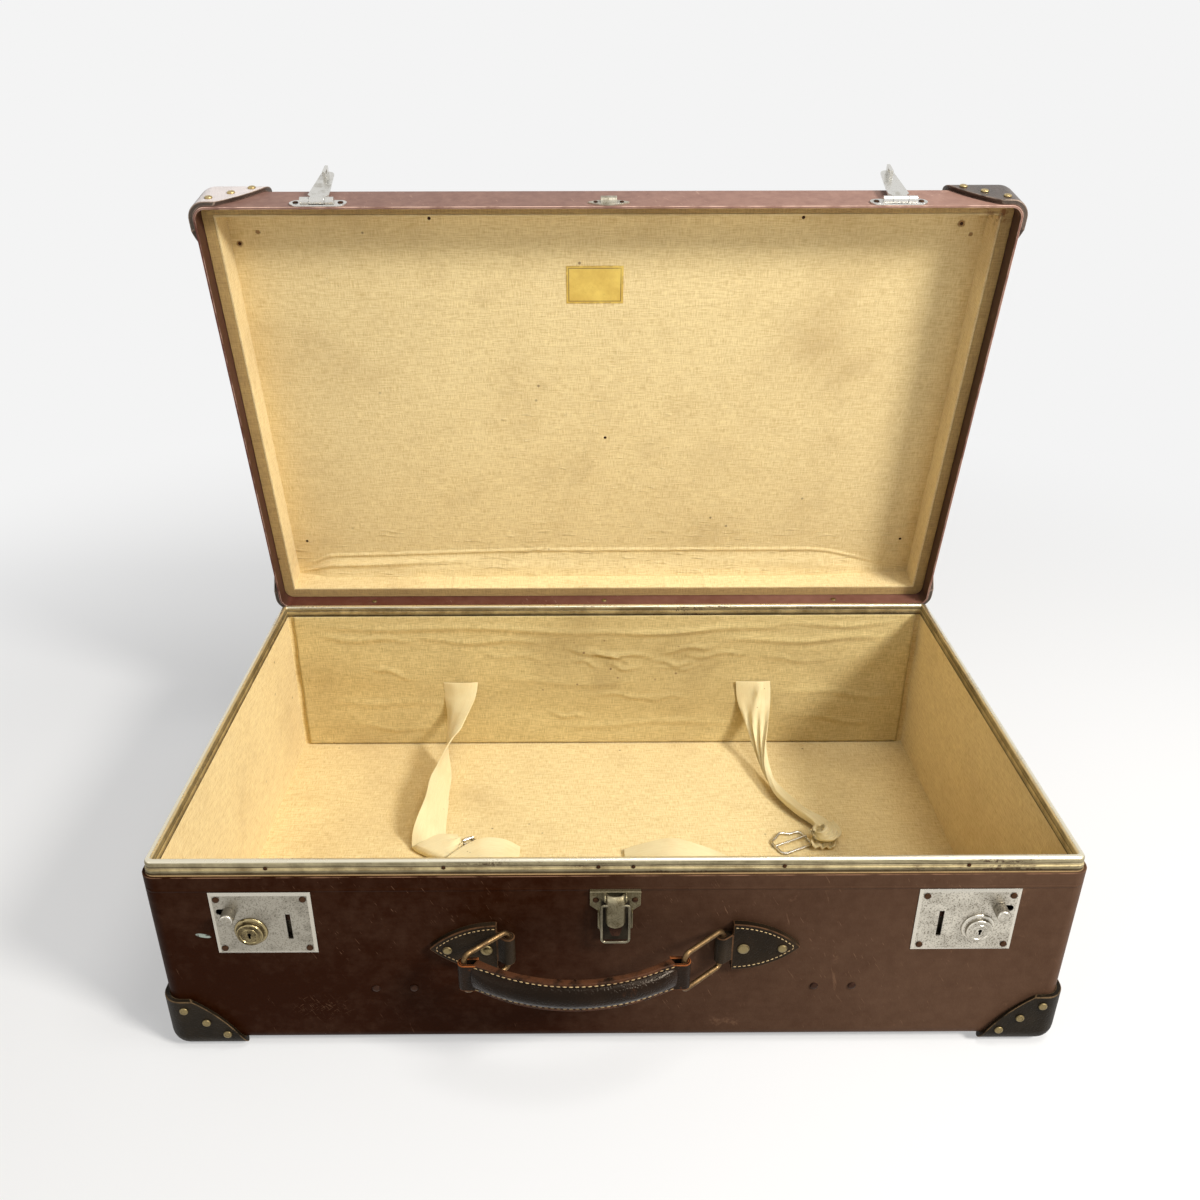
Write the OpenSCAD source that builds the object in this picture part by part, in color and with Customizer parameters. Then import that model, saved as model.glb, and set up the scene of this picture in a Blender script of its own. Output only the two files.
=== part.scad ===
// Fibre travel case with a hinged lid, two hasp locks, a draw catch and a strap handle.
// The origin is in the middle of the base shell's underside; the leather caps reach below it.
// +X is to the right, +Y to the rear hinges and +Z up. The lid is drawn standing open.

/* [Case] */
// Width of the case over its fibre shell
case_w = 666; // [600:1:760]
// Depth of the case over its fibre shell, front to rear
case_d = 408; // [360:1:460]
// Height of the base shell, from its underside to its edge
base_h = 160; // [140:1:200]
// Depth of the lid shell, from its edge to its outer face
lid_h = 47; // [44:1:70]
// Thickness of the vulcanised fibre
fibre_t = 2; // [1.6:0.1:2.4]
// Outer radius of the shells' corners and edges
corner_r = 11; // [10:0.5:13]
// Gap between the closed lid's edge and the base's edge
edge_gap = 0.5; // [0.3:0.1:1]
// Angle that the lid stands open
lid_open = 78; // [0:1:100]

/* [Frames and lining] */
// Rise of the metal rim above the base shell's edge
lip_h = 11; // [9:0.5:13]
// Thickness of the rim over its channel
rim_t = 6; // [5.4:0.1:6.4]
// Thickness of the channel's metal
channel_t = 0.8; // [0.6:0.1:1]
// Height of the channel's proud foot band
band_h = 4.4; // [3:0.1:6]
// How far the foot band stands proud
band_t = 0.5; // [0.3:0.1:0.6]
// Clearance between the channel and the closed lid's skirt
rim_play = 1.4; // [1.2:0.1:1.8]
// Depth of the base frame below the shell's edge
frame_drop = 11; // [8:0.5:11.5]
// Thickness of the lid frame's timber
lid_frame_t = 9.4; // [9:0.1:12]
// How far the lid frame's edge lies inside the skirt's edge
lid_setback = 16; // [14:0.5:20]
// Thickness of the cloth-covered card lining
lining_t = 1.5; // [1:0.1:2]
// Amplitude of the folds in the loose cloth on the rear wall
cloth_wave = 1.6; // [0.5:0.1:2.5]
// Length of the paper label on the lid lining
label_w = 50; // [40:1:70]
// Height of the paper label on the lid lining
label_h = 34; // [25:1:50]

/* [Corner caps] */
// Thickness of the leather corner caps
cap_t = 4; // [3:0.1:5]
// Reach of a cap from the corner along each edge
cap_size = 55; // [48:1:60]
// How far outside the corner the centre of a cap's curved edge lies
cap_bow = 40; // [30:1:60]
// Diameter of the cap rivets' heads
cap_rivet_d = 6.5; // [5:0.1:8]
// Height of the cap rivets' heads
cap_rivet_h = 1.6; // [1:0.1:2.5]

/* [Rear hinges] */
// Distance from the middle hinge to each outer hinge
hinge_x = 238; // [180:1:250]
// Width of a hinge
hinge_w = 42; // [36:1:60]
// Height of each hinge leaf
leaf_h = 15; // [13:0.5:18]
// Thickness of the hinge leaves
leaf_t = 1; // [0.8:0.1:1.2]
// Outer radius of the hinge knuckles
knuckle_r = 3.2; // [3:0.1:3.6]
// Radius of the hinge pins
hinge_pin_r = 1.5; // [1.2:0.1:1.8]

/* [Locks] */
// Distance from the case's side to each lock's middle
lock_in = 82.5; // [81:0.5:123]
// Distance from the base's edge down to the locks' middle
lock_drop = 41; // [39:0.5:48]
// Width of a lock plate
lock_w = 72; // [72:0.5:78]
// Height of a lock plate
lock_h = 56; // [52:0.5:60]
// Thickness of a lock plate
lock_plate_t = 1.2; // [1:0.1:1.5]
// Height of the slot for the hasp's staple
slot_h = 23; // [20:0.5:24]
// Width of the slot for the hasp's staple
slot_w = 3.6; // [3.3:0.1:4]
// Radius of the key cylinder's nose
cylinder_r = 9.6; // [9:0.1:10.5]
// How far the key cylinder stands out of its plate
cylinder_out = 7.5; // [5:0.1:9]
// Radius of the turning key plug
plug_r = 3.5; // [3:0.1:4]
// Radius of the sliding stud's head
stud_r = 4; // [3.5:0.1:4.5]
// How far the sliding stud stands out of its plate
stud_out = 10; // [8:0.1:12]
// Travel of the lock's bolt
bolt_travel = 7; // [6:0.1:7.5]

/* [Hasps] */
// Width of a hasp's riveted plate
hasp_plate_w = 46; // [44:0.5:54]
// Width of a hasp's swinging flap at its knuckle
hasp_w = 17; // [15:0.5:18]
// Length of a hasp's flap below its pin
hasp_len = 56; // [55:0.5:60]
// Thickness of a hasp's flap
hasp_t = 1.6; // [1.2:0.1:1.8]
// Thickness of the staple on a hasp
staple_t = 2.6; // [2.2:0.1:2.8]
// Outer radius of the hasp knuckles
hasp_knuckle_r = 3; // [2.8:0.1:3.2]
// Radius of the hasp pins
hasp_pin_r = 1.3; // [1:0.1:1.5]
// Angle that the hasps stand open
hasp_open = 176; // [0:1:178]

/* [Draw catch] */
// Width of the catch plate at its shoulders
catch_w = 36; // [34:0.5:44]
// Height of the catch plate
catch_h = 46; // [44:0.5:50]
// Width of the catch lever
lever_w = 13; // [12:0.1:14]
// Length of the catch lever below its pin
lever_len = 30; // [28:0.5:31]
// Diameter of the bail's wire
bail_d = 1.8; // [1.4:0.1:2]

/* [Handle] */
// Distance between the pivots of the handle's two loops
handle_span = 153; // [145:1:175]
// Distance from the base's edge down to the handle's middle
handle_drop = 62; // [58:1:70]
// Length of a wire loop between its two bars
loop_len = 38; // [36:0.5:42]
// Height of a wire loop between its two runs
loop_h = 34; // [32:0.5:38]
// Diameter of the loop's wire
loop_d = 4; // [3.4:0.1:4.4]
// Angle of the loops off the wall
loop_angle = 40; // [20:1:160]
// Thickness of each leather layer
leather_t = 2.6; // [2:0.1:2.8]
// Length of a chape from its pivot to its pointed tip
chape_len = 57; // [52:0.5:66]
// Height of a chape at its widest
chape_h = 43; // [40:0.5:48]
// Height of the leather grip
grip_h = 25; // [20:0.5:26]
// Thickness of the leather grip
grip_t = 15; // [12:0.5:16]
// How far the grip bows out from its ends
grip_bow = 20; // [14:0.5:24]

/* [Straps] */
// Width of the cotton straps
strap_w = 36; // [30:0.5:40]
// Thickness of the cotton straps
strap_t = 1.6; // [1.2:0.1:2]
// Distance from the case's middle to each strap
strap_x = 160; // [140:1:170]
// Height of the rear straps' upper ends over the floor
strap_hang = 78; // [70:0.5:84]
// Height of the front straps' upper ends over the floor
strap_rise = 56; // [50:0.5:60]
// How far the straps reach over the floor from their walls
strap_reach = 192; // [170:1:200]
// Diameter of the buckles' wire
buckle_d = 2.6; // [2:0.1:3]
// Length of the right strap's buckle
buckle_w = 34; // [30:0.5:36]
// Breadth of the right strap's buckle
buckle_h = 22; // [18:0.5:24]
// Length of the left strap's ring
ring_w = 11; // [9:0.5:13]
// Breadth of the left strap's ring
ring_h = 8; // [7:0.5:10]

/* [Hidden] */
$fn = 48;
// Clearance between pieces that are fixed to each other
fit = 0.05;
// Clearance between leather or curved shells and what they lie on
seat = 0.1;
// Running clearance of pins in their bores
run = 0.05;
// Clearance of pieces that move past each other
clear = 0.3;
// Loose clearance of wire in its leather folds
slack = 0.25;

base_top = base_h;
lid_edge = base_top + edge_gap;
lid_top = lid_edge + lid_h;
front_y = -case_d / 2;
rear_y = case_d / 2;

// Rim and lining, measured inwards from the shell's outer face
rim_inset = fibre_t + rim_play;
rim_r = rim_t + 0.4;
rim_axis = rim_inset + rim_r;
tongue_out = rim_inset + channel_t + fit;
lining_in = rim_inset + rim_t - channel_t - fit;
lining_out = lining_in - lining_t;
tongue_in = lining_out - fit;
tongue_top = base_top + lip_h - rim_t / 2;
lining_reach = (corner_r - rim_axis) * sqrt(2) + rim_axis - lining_out;
lining_lift = corner_r - sqrt(pow(corner_r - fibre_t - clear, 2) - pow(lining_reach, 2));
lining_z = lining_lift;
floor_z = lining_z + lining_t;
wall_y = rear_y - lining_in;

// Lid frame and lining
lid_frame_z = lid_edge + lid_setback;
lid_frame_in = fibre_t + seat + lid_frame_t;
panel_z = lid_top - fibre_t - seat - lining_t;

// Rear hinges
hinge_y = rear_y + knuckle_r + clear;
hinge_z = base_top + edge_gap / 2;
knuckle_l = hinge_w / 3;

// Locks: places are measured from the lock's middle, towards the case's middle and up
lock_x = case_w / 2 - lock_in;
lock_z = base_top - lock_drop;
plate_y = front_y - fit - lock_plate_t;
cylinder_at = [-9.5, -6.5];
stud_at = [-22.5, 11];
slot_at = [18, -2.8];
lock_rivet_at = [lock_w / 2 - 5.5, lock_h / 2 - 5.5];
tail_r = 6.4;
case_in_u = 27;
case_out_u = -lock_w / 2 + 1.5;
case_half_h = 18.5;
lock_depth = lining_out - 0.4;
case_wall = 0.7;
bolt_t = 2;
bolt_z0 = cylinder_at[1] + tail_r + 1;
bolt_z1 = bolt_z0 + 4.5;
bolt_y = front_y + 1.9;
bolt_tip = slot_at[0] + 3.2;

// Hasps: the flap hangs over the lock plate when the lid is shut
hasp_x = lock_x - slot_at[0];
hasp_axis_z = lid_edge + 4.5;
flap_y = plate_y - clear;
hasp_axis_y = front_y - hasp_knuckle_r - 0.4;
hasp_plate_t = 1.2;
staple_top = lock_z + bolt_z1 + 2.6;
staple_low = staple_top - 14;
staple_reach = lock_depth - 1.6;

// Draw catch
catch_top = base_top - 11.5;
catch_t = 1.2;
lever_y = front_y - catch_t - 3.9;
lever_z = catch_top - 4;
lever_knuckle_r = 2.7;
lever_pin_r = 1.2;
lever_t = 1.6;
ear_t = 1.2;
bail_drop = 4.5;
bail_y = lever_y - 2.8;
bail_barrel_r = 2.1;
bail_x = lever_w / 2 + ear_t + clear + bail_d;
keeper_axis_z = lid_edge + 7;
keeper_r = 4.6;
// Reaches over the keeper's roll when the lid is shut and the lever lies flat
bail_len = keeper_axis_z + keeper_r + bail_d / 2 + 0.5 - (lever_z - bail_drop);

// Handle
handle_z = base_top - handle_drop;
fold_r = loop_d / 2 + slack + leather_t;
loop_y = front_y - fold_r - seat;
chape_t = 2 * leather_t;
loop_bend = 5;
fold_h = loop_h - 2 * loop_bend - 0.4;
grip_fold_r = loop_d / 2 + slack + 2.4;
grip_chord = handle_span - 2 * 7;
grip_r = grip_chord * grip_chord / (8 * grip_bow) + grip_bow / 2;
grip_half = asin(grip_chord / 2 / grip_r);
grip_shift = [-loop_len * cos(loop_angle), -loop_len * sin(loop_angle), 0];

// Shapes that repeat

// Runs a flat section, drawn outwards from the corner's axis, round a rectangle with round corners
module around(w, d, r) {
    for (turn = [0, 180]) rotate(turn) {
        translate([w / 2 - r, d / 2 - r, 0]) {
            rotate([90, 0, 0]) linear_extrude(d - 2 * r) children();
            rotate_extrude(angle = 90) children();
        }
        translate([r - w / 2, d / 2 - r, 0]) rotate(90) {
            rotate([90, 0, 0]) linear_extrude(w - 2 * r) children();
            rotate_extrude(angle = 90) children();
        }
    }
}

// Wall of a tray with a rounded foot, from the corner's axis outwards
module tray_section(h, r, t) {
    difference() {
        union() {
            translate([0, r]) square([r, h - r]);
            intersection() {
                translate([0, r]) circle(r);
                square(r);
            }
        }
        translate([0, r]) circle(r - t);
        translate([-r, r]) square([2 * r - t, h]);
    }
}

module tray(w, d, h, r, t) {
    around(w, d, r) tray_section(h, r, t);
    translate([r - w / 2, r - d / 2, 0]) cube([w - 2 * r, d - 2 * r, t]);
}

// Rectangle with round corners, set inwards from the shell's outer face
module inset_outline(inset, r) {
    w = case_w - 2 * inset;
    d = case_d - 2 * inset;
    square([w - 2 * r, d], center = true);
    square([w, d - 2 * r], center = true);
    for (x = [-1, 1], y = [-1, 1]) translate([x * (w / 2 - r), y * (d / 2 - r)]) circle(r);
}

module inset_ring(z, h, out, out_r, in, in_r) {
    translate([0, 0, z]) linear_extrude(h) difference() {
        inset_outline(out, out_r);
        inset_outline(in, in_r);
    }
}

// Domed rivet head standing on the plane z = 0
module rivet_head(d, h) {
    dome_r = (d * d / 4 + h * h) / (2 * h);
    rotate_extrude() intersection() {
        translate([0, h - dome_r]) circle(dome_r);
        square([d / 2, h]);
    }
}

// Turns a piece drawn standing on z = 0 so that it stands on the front face
module on_front(x, z, out = 0) {
    translate([x, front_y - out, z]) rotate([90, 0, 0]) children();
}

module on_rear(x, z, out = 0) {
    translate([x, rear_y + out, z]) rotate([-90, 0, 0]) children();
}

// Swings a piece that is drawn on the shut lid to the angle at which the lid stands open
module on_lid() {
    translate([0, hinge_y, hinge_z]) rotate([-lid_open, 0, 0]) translate([0, -hinge_y, -hinge_z]) children();
}

// Puts a piece drawn about a lock's middle, towards the case's middle and up, on one side
module on_lock(side) {
    if (side < 0) translate([-lock_x, 0, lock_z]) children();
    else mirror([1, 0, 0]) translate([-lock_x, 0, lock_z]) children();
}

// A wire bent square: straight bars with quarter-round corners, in the plane y = 0
module wire_frame(w, h, r, wire) {
    for (x = [0, w]) translate([x, 0, r - h / 2]) cylinder(d = wire, h = h - 2 * r);
    for (z = [-h / 2, h / 2]) translate([r, 0, z]) rotate([0, 90, 0]) cylinder(d = wire, h = w - 2 * r);
    for (x = [0, 1], z = [0, 1])
        translate([x * w, 0, 0]) mirror([x, 0, 0]) mirror([0, 0, z]) translate([r, 0, r - h / 2])
            rotate([90, 0, 0]) rotate(180) rotate_extrude(angle = 90) translate([r, 0]) circle(d = wire);
}

// Ribbon swept through points [x, y, z, sx, sy, sz, f]: s points across its width and f scales the width
function ribbon_at(p) = [p[0], p[1], p[2]];
function ribbon_side(p) = let (s = [p[3], p[4], p[5]]) s / norm(s);
function ribbon_along(pts, i) = ribbon_at(pts[min(i + 1, len(pts) - 1)]) - ribbon_at(pts[max(i - 1, 0)]);
function ribbon_ring(pts, i, w, t) =
    let (c = ribbon_at(pts[i]), s = ribbon_side(pts[i]) * w * pts[i][6] / 2,
         n = cross(s, ribbon_along(pts, i)), u = n / norm(n) * t / 2)
    [c - s - u, c + s - u, c + s + u, c - s + u];
function smooth_point(pts, i, f) =
    let (n = len(pts) - 1, a = pts[max(i - 1, 0)], b = pts[i], c = pts[min(i + 1, n)], d = pts[min(i + 2, n)])
    0.5 * (2 * b + (c - a) * f + (2 * a - 5 * b + 4 * c - d) * f * f + (3 * b - a - 3 * c + d) * f * f * f);
function smooth_path(pts, steps) = [
    for (i = [0 : len(pts) - 2], k = [0 : steps - 1]) smooth_point(pts, i, k / steps),
    pts[len(pts) - 1]
];

module ribbon(route, w, t) {
    pts = smooth_path(route, 3);
    n = len(pts);
    points = [for (i = [0 : n - 1]) each ribbon_ring(pts, i, w, t)];
    sides = [
        for (i = [0 : n - 2], k = [0 : 3])
            let (a = 4 * i + k, b = 4 * i + (k + 1) % 4)
            each [[a, a + 4, b], [b, a + 4, b + 4]]
    ];
    last = 4 * (n - 1);
    ends = [[0, 1, 2], [0, 2, 3], [last, last + 2, last + 1], [last, last + 3, last + 2]];
    polyhedron(points, concat(sides, ends));
}

// Base

module lock_window(side) {
    on_lock(side) translate([case_out_u - 0.5, front_y - 1, -case_half_h - 0.5])
        cube([case_in_u - case_out_u + 1, fibre_t + 2, 2 * case_half_h + 1]);
}

module base_shell() {
    color("#4a2b20") difference() {
        tray(case_w, case_d, base_h, corner_r, fibre_t);
        for (side = [-1, 1]) lock_window(side);
    }
}

module base_frame() {
    color("#b99b63") {
        inset_ring(base_top - frame_drop, frame_drop, fibre_t + seat, corner_r - fibre_t - seat,
            tongue_in, rim_axis - tongue_in);
        inset_ring(base_top, tongue_top - base_top, tongue_out, rim_axis - tongue_out,
            tongue_in, rim_axis - tongue_in);
    }
}

// Channel over the rim, drawn outwards from the rim corner's axis
module channel_section() {
    bead_r = rim_t / 2;
    straight = lip_h - bead_r;
    difference() {
        union() {
            translate([rim_r - rim_t, fit]) square([rim_t, straight - fit]);
            translate([rim_r - bead_r, straight]) circle(bead_r);
            translate([rim_r - channel_t, fit]) square([channel_t + band_t, band_h]);
        }
        translate([rim_r - rim_t + channel_t, -1]) square([rim_t - 2 * channel_t, straight + 1]);
        translate([rim_r - bead_r, straight]) circle(bead_r - channel_t);
    }
}

module rim_channel() {
    color("#c9b98c") translate([0, 0, base_top])
        around(case_w - 2 * rim_inset, case_d - 2 * rim_inset, rim_r) channel_section();
}

module base_lining() {
    bed = corner_r + 1;
    bed_z = fibre_t + fit;
    color("#e8cd92") {
        inset_ring(lining_z, tongue_top - lining_z, lining_out, rim_axis - lining_out,
            lining_in, rim_axis - lining_in);
        translate([0, 0, lining_z]) linear_extrude(lining_t) inset_outline(lining_out, rim_axis - lining_out);
        translate([bed - case_w / 2, bed - case_d / 2, bed_z])
            cube([case_w - 2 * bed, case_d - 2 * bed, lining_z - bed_z]);
    }
}

// Loose cloth hanging down the rear wall, with the long slack folds of its sagging top half
cloth_half = case_w / 2 - lining_in - 6;
cloth_low = floor_z + 1.5;
cloth_top = base_top + 0.5;
cloth_t = 0.8;
function cloth_out(u, v) =
    0.5 + cloth_wave * (1 + 0.55 * sin(360 * (1.9 * v + 0.8 * u)) * sin(180 * v)
    + 0.45 * sin(360 * (0.7 * v - 2.3 * u) + 40) * sin(180 * v) * (0.4 + 0.6 * u));
function cloth_front(x, z) =
    wall_y - cloth_t - cloth_out((x / cloth_half + 1) / 2, (z - cloth_low) / (cloth_top - cloth_low));

module rear_wall_cloth() {
    cols = 28;
    rows = 10;
    row_l = cols + 1;
    back = row_l * (rows + 1);
    points = [
        for (side = [0, 1], j = [0 : rows], i = [0 : cols])
            let (u = i / cols, v = j / rows)
            [cloth_half * (2 * u - 1), wall_y - cloth_out(u, v) - side * cloth_t,
             cloth_low + v * (cloth_top - cloth_low)]
    ];
    sheet = [
        for (j = [0 : rows - 1], i = [0 : cols - 1])
            let (a = j * row_l + i, b = a + 1, c = a + row_l, d = c + 1)
            each [[a, b, c], [b, d, c], [back + a, back + c, back + b], [back + b, back + c, back + d]]
    ];
    long_edges = [
        for (i = [0 : cols - 1]) let (a = i, t = rows * row_l + i)
            each [[a, back + a, a + 1], [a + 1, back + a, back + a + 1],
                  [t, t + 1, back + t], [t + 1, back + t + 1, back + t]]
    ];
    short_edges = [
        for (j = [0 : rows - 1]) let (a = j * row_l, t = a + cols)
            each [[a, a + row_l, back + a], [a + row_l, back + a + row_l, back + a],
                  [t, back + t, t + row_l], [t + row_l, back + t, back + t + row_l]]
    ];
    color("#e6c98a") polyhedron(points, concat(sheet, long_edges, short_edges));
}

// Corner caps

// Leather outside the tray's wall, from the corner's axis outwards
module cap_section() {
    inner_r = corner_r + seat;
    outer_r = inner_r + cap_t;
    difference() {
        union() {
            translate([0, corner_r]) square([outer_r, cap_size]);
            intersection() {
                translate([0, corner_r]) circle(outer_r);
                translate([0, corner_r - outer_r]) square(outer_r);
            }
        }
        translate([0, corner_r]) circle(inner_r);
        translate([-inner_r, corner_r]) square([2 * inner_r, cap_size + 1]);
    }
}

// One cap on the tray corner at +X +Y, cut by a sphere that gives each face its bowed edge
module corner_cap() {
    reach = cap_size + cap_t;
    flat_r = sqrt(pow(cap_bow, 2) + pow(cap_size + cap_bow, 2));
    intersection() {
        translate([case_w / 2 - corner_r, case_d / 2 - corner_r, 0]) {
            rotate_extrude(angle = 90) cap_section();
            rotate([90, 0, 0]) linear_extrude(reach) cap_section();
            translate([-reach, 0, 0]) rotate(90) rotate([90, 0, 0]) linear_extrude(reach) cap_section();
            translate([-reach, -reach, -seat - cap_t]) cube([reach, reach, cap_t]);
        }
        translate([case_w / 2 + cap_bow, case_d / 2 + cap_bow, -cap_bow])
            sphere(sqrt(pow(flat_r, 2) + pow(cap_bow, 2)), $fn = 120);
        translate([0, 0, -reach]) cube([case_w, case_d, reach + lid_h - 1.5]);
    }
}

module four_corners() {
    for (x = [0, 1], y = [0, 1]) mirror([x, 0, 0]) mirror([0, y, 0]) children();
}

// Rivet places on a cap's face: along one edge and along the other
cap_rivet_at = [[13, 37], [28, 25], [42, 13]];

module wall_cap_rivets() {
    out = seat + cap_t + fit;
    for (p = cap_rivet_at) {
        translate([case_w / 2 - p[0], case_d / 2 + out, p[1]]) rotate([-90, 0, 0])
            rivet_head(cap_rivet_d, cap_rivet_h);
        translate([case_w / 2 + out, case_d / 2 - p[0], p[1]]) rotate([0, 90, 0])
            rivet_head(cap_rivet_d, cap_rivet_h);
    }
}

module face_cap_rivets() {
    for (p = cap_rivet_at) translate([case_w / 2 - p[0], case_d / 2 - p[1], -seat - cap_t - fit])
        mirror([0, 0, 1]) rivet_head(cap_rivet_d, cap_rivet_h);
}

module base_corner_caps() {
    color("#3a322b") four_corners() corner_cap();
}

module base_cap_rivets() {
    color("#b9a26c") four_corners() wall_cap_rivets();
}

// Lid

module on_lid_tray() {
    on_lid() translate([0, 0, lid_top]) mirror([0, 0, 1]) children();
}

module lid_shell() {
    color("#55302a") on_lid_tray() tray(case_w, case_d, lid_h, corner_r, fibre_t);
}

module lid_frame() {
    color("#a98e58") on_lid() inset_ring(lid_frame_z, lid_top - corner_r - lid_frame_z,
        fibre_t + seat, corner_r - fibre_t - seat, lid_frame_in, 1);
}

module lid_lining() {
    out = lid_frame_in + seat;
    in = out + lining_t;
    color("#e8cd92") on_lid() {
        inset_ring(lid_frame_z, panel_z - lid_frame_z, out, 0.9, in, 0.5);
        translate([0, 0, panel_z]) linear_extrude(lining_t) inset_outline(out, 0.9);
    }
}

module lid_label() {
    label_t = 0.3;
    label_at = [-10.5, -122];
    color("#d9c24e") on_lid() translate([label_at[0], label_at[1], panel_z - fit - label_t / 2])
        cube([label_w, label_h, label_t], center = true);
}

module lid_corner_caps() {
    color("#3a322b") on_lid_tray() four_corners() corner_cap();
}

module lid_cap_rivets() {
    color("#b9a26c") on_lid_tray() four_corners() {
        wall_cap_rivets();
        face_cap_rivets();
    }
}

// Rear hinges

hinge_places = [-hinge_x, 0, hinge_x];

// Leaf with its knuckles, drawn about the pin; the lid's leaf has the middle knuckle, the base's the outer two
module hinge_leaf(outer) {
    bore_r = hinge_pin_r + (outer ? fit / 2 : run);
    spans = outer ? [[-1.5, -0.5], [0.5, 1.5]] : [[-0.5, 0.5]];
    gap = clear / 2;
    relief = knuckle_r + clear;
    wall = rear_y + fit - hinge_y;
    leaf_top = -edge_gap / 2 - 0.3;
    difference() {
        union() {
            translate([-hinge_w / 2, wall, -leaf_h]) cube([hinge_w, leaf_t, leaf_h + leaf_top]);
            for (s = spans) {
                x0 = s[0] * knuckle_l + gap;
                x1 = s[1] * knuckle_l - gap;
                translate([x0, wall, leaf_top - 3]) cube([x1 - x0, -wall, 3]);
                translate([x0, 0, 0]) rotate([0, 90, 0]) cylinder(r = knuckle_r, h = x1 - x0);
            }
        }
        translate([-hinge_w, 0, 0]) rotate([0, 90, 0]) cylinder(r = bore_r, h = 2 * hinge_w);
        for (s = outer ? [[-0.5, 0.5]] : [[-1.6, -0.5], [0.5, 1.6]])
            translate([s[0] * knuckle_l - gap, 0, 0]) rotate([0, 90, 0])
                cylinder(r = relief, h = (s[1] - s[0]) * knuckle_l + 2 * gap);
    }
}

module at_hinges() {
    for (x = hinge_places) translate([x, hinge_y, hinge_z]) children();
}

module hinge_base_leaves() {
    color("#8f8a78") at_hinges() hinge_leaf(true);
}

module hinge_lid_leaves() {
    color("#8f8a78") on_lid() at_hinges() mirror([0, 0, 1]) hinge_leaf(false);
}

module hinge_pins() {
    color("#a39c86") at_hinges() translate([-hinge_w / 2, 0, 0]) rotate([0, 90, 0])
        cylinder(r = hinge_pin_r, h = hinge_w);
}

hinge_rivet_x = hinge_w / 2 - 7;
hinge_rivet_z = leaf_h - 4.5;

module hinge_base_rivets() {
    color("#a08f62") for (x = hinge_places, s = [-1, 1])
        on_rear(x + s * hinge_rivet_x, hinge_z - hinge_rivet_z, leaf_t + 2 * fit) rivet_head(5, 1.2);
}

// The lid's hinge rivets show their clenched ends on the inside of the skirt
module hinge_lid_rivets() {
    mid_z = hinge_z + hinge_rivet_z - 2;
    color("#a08f62") on_lid() for (x = hinge_places) {
        for (s = [-1, 1])
            on_rear(x + s * hinge_rivet_x, hinge_z + hinge_rivet_z, leaf_t + 2 * fit) rivet_head(5, 1.2);
        on_rear(x, mid_z, leaf_t + 2 * fit) rivet_head(5, 1.2);
        translate([x, rear_y - fibre_t - fit, mid_z]) rotate([90, 0, 0]) rivet_head(5, 1.2);
    }
}

// Locks

module lock_plate(side) {
    guide_r = 2.8;
    color("#b4ae9e") on_lock(side) difference() {
        translate([-lock_w / 2, plate_y, -lock_h / 2]) cube([lock_w, lock_plate_t, lock_h]);
        translate([slot_at[0], front_y, slot_at[1]]) cube([slot_w, 6, slot_h], center = true);
        translate([cylinder_at[0], front_y + 1, cylinder_at[1]]) rotate([90, 0, 0])
            cylinder(r = tail_r + fit, h = lock_plate_t + 4);
        for (u = [0, -bolt_travel]) translate([stud_at[0] + u, front_y + 1, stud_at[1]]) rotate([90, 0, 0])
            cylinder(r = guide_r, h = lock_plate_t + 4);
        translate([stud_at[0] - bolt_travel / 2, front_y, stud_at[1]])
            cube([bolt_travel, 6, 2 * guide_r], center = true);
    }
}

// Open-fronted case behind the plate, let into the window in the wall
module lock_case(side) {
    box_w = case_in_u - case_out_u;
    box_h = 2 * case_half_h;
    color("#77715f") on_lock(side) translate([case_out_u, front_y, -case_half_h]) difference() {
        cube([box_w, lock_depth, box_h]);
        translate([case_wall, -1, case_wall])
            cube([box_w - 2 * case_wall, lock_depth + 1 - case_wall, box_h - 2 * case_wall]);
    }
}

// Fixed body of the key cylinder: a stepped nose outside and a tail through the plate
module lock_cylinder(side) {
    tail = lock_depth - case_wall - 0.3 + lock_plate_t;
    rim_w = 2.4;
    color("#a5987a") on_lock(side) translate([cylinder_at[0], plate_y - fit, cylinder_at[1]]) rotate([90, 0, 0])
        difference() {
            union() {
                rotate_extrude() polygon([
                    [0, 0], [cylinder_r + rim_w, 0], [cylinder_r + rim_w, 0.8], [cylinder_r + 1, 1.8],
                    [cylinder_r, 1.8], [cylinder_r, cylinder_out - 1], [cylinder_r - 1, cylinder_out],
                    [0, cylinder_out]
                ]);
                translate([0, 0, -tail]) cylinder(r = tail_r, h = tail);
            }
            translate([0, 0, -tail - 1]) cylinder(r = plug_r + run, h = tail + cylinder_out + 2);
        }
}

module lock_plug(side) {
    tail = lock_depth - case_wall - 0.3 + lock_plate_t;
    key_deep = 6;
    color("#8d7848") on_lock(side) translate([cylinder_at[0], plate_y - fit, cylinder_at[1]]) rotate([90, 0, 0])
        difference() {
            translate([0, 0, -tail]) cylinder(r = plug_r, h = tail + cylinder_out);
            translate([0, 0.8, cylinder_out - key_deep]) cylinder(r = 1.1, h = key_deep + 1);
            translate([-0.6, -2.4, cylinder_out - key_deep]) cube([1.2, 3.2, key_deep + 1]);
        }
}

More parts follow.
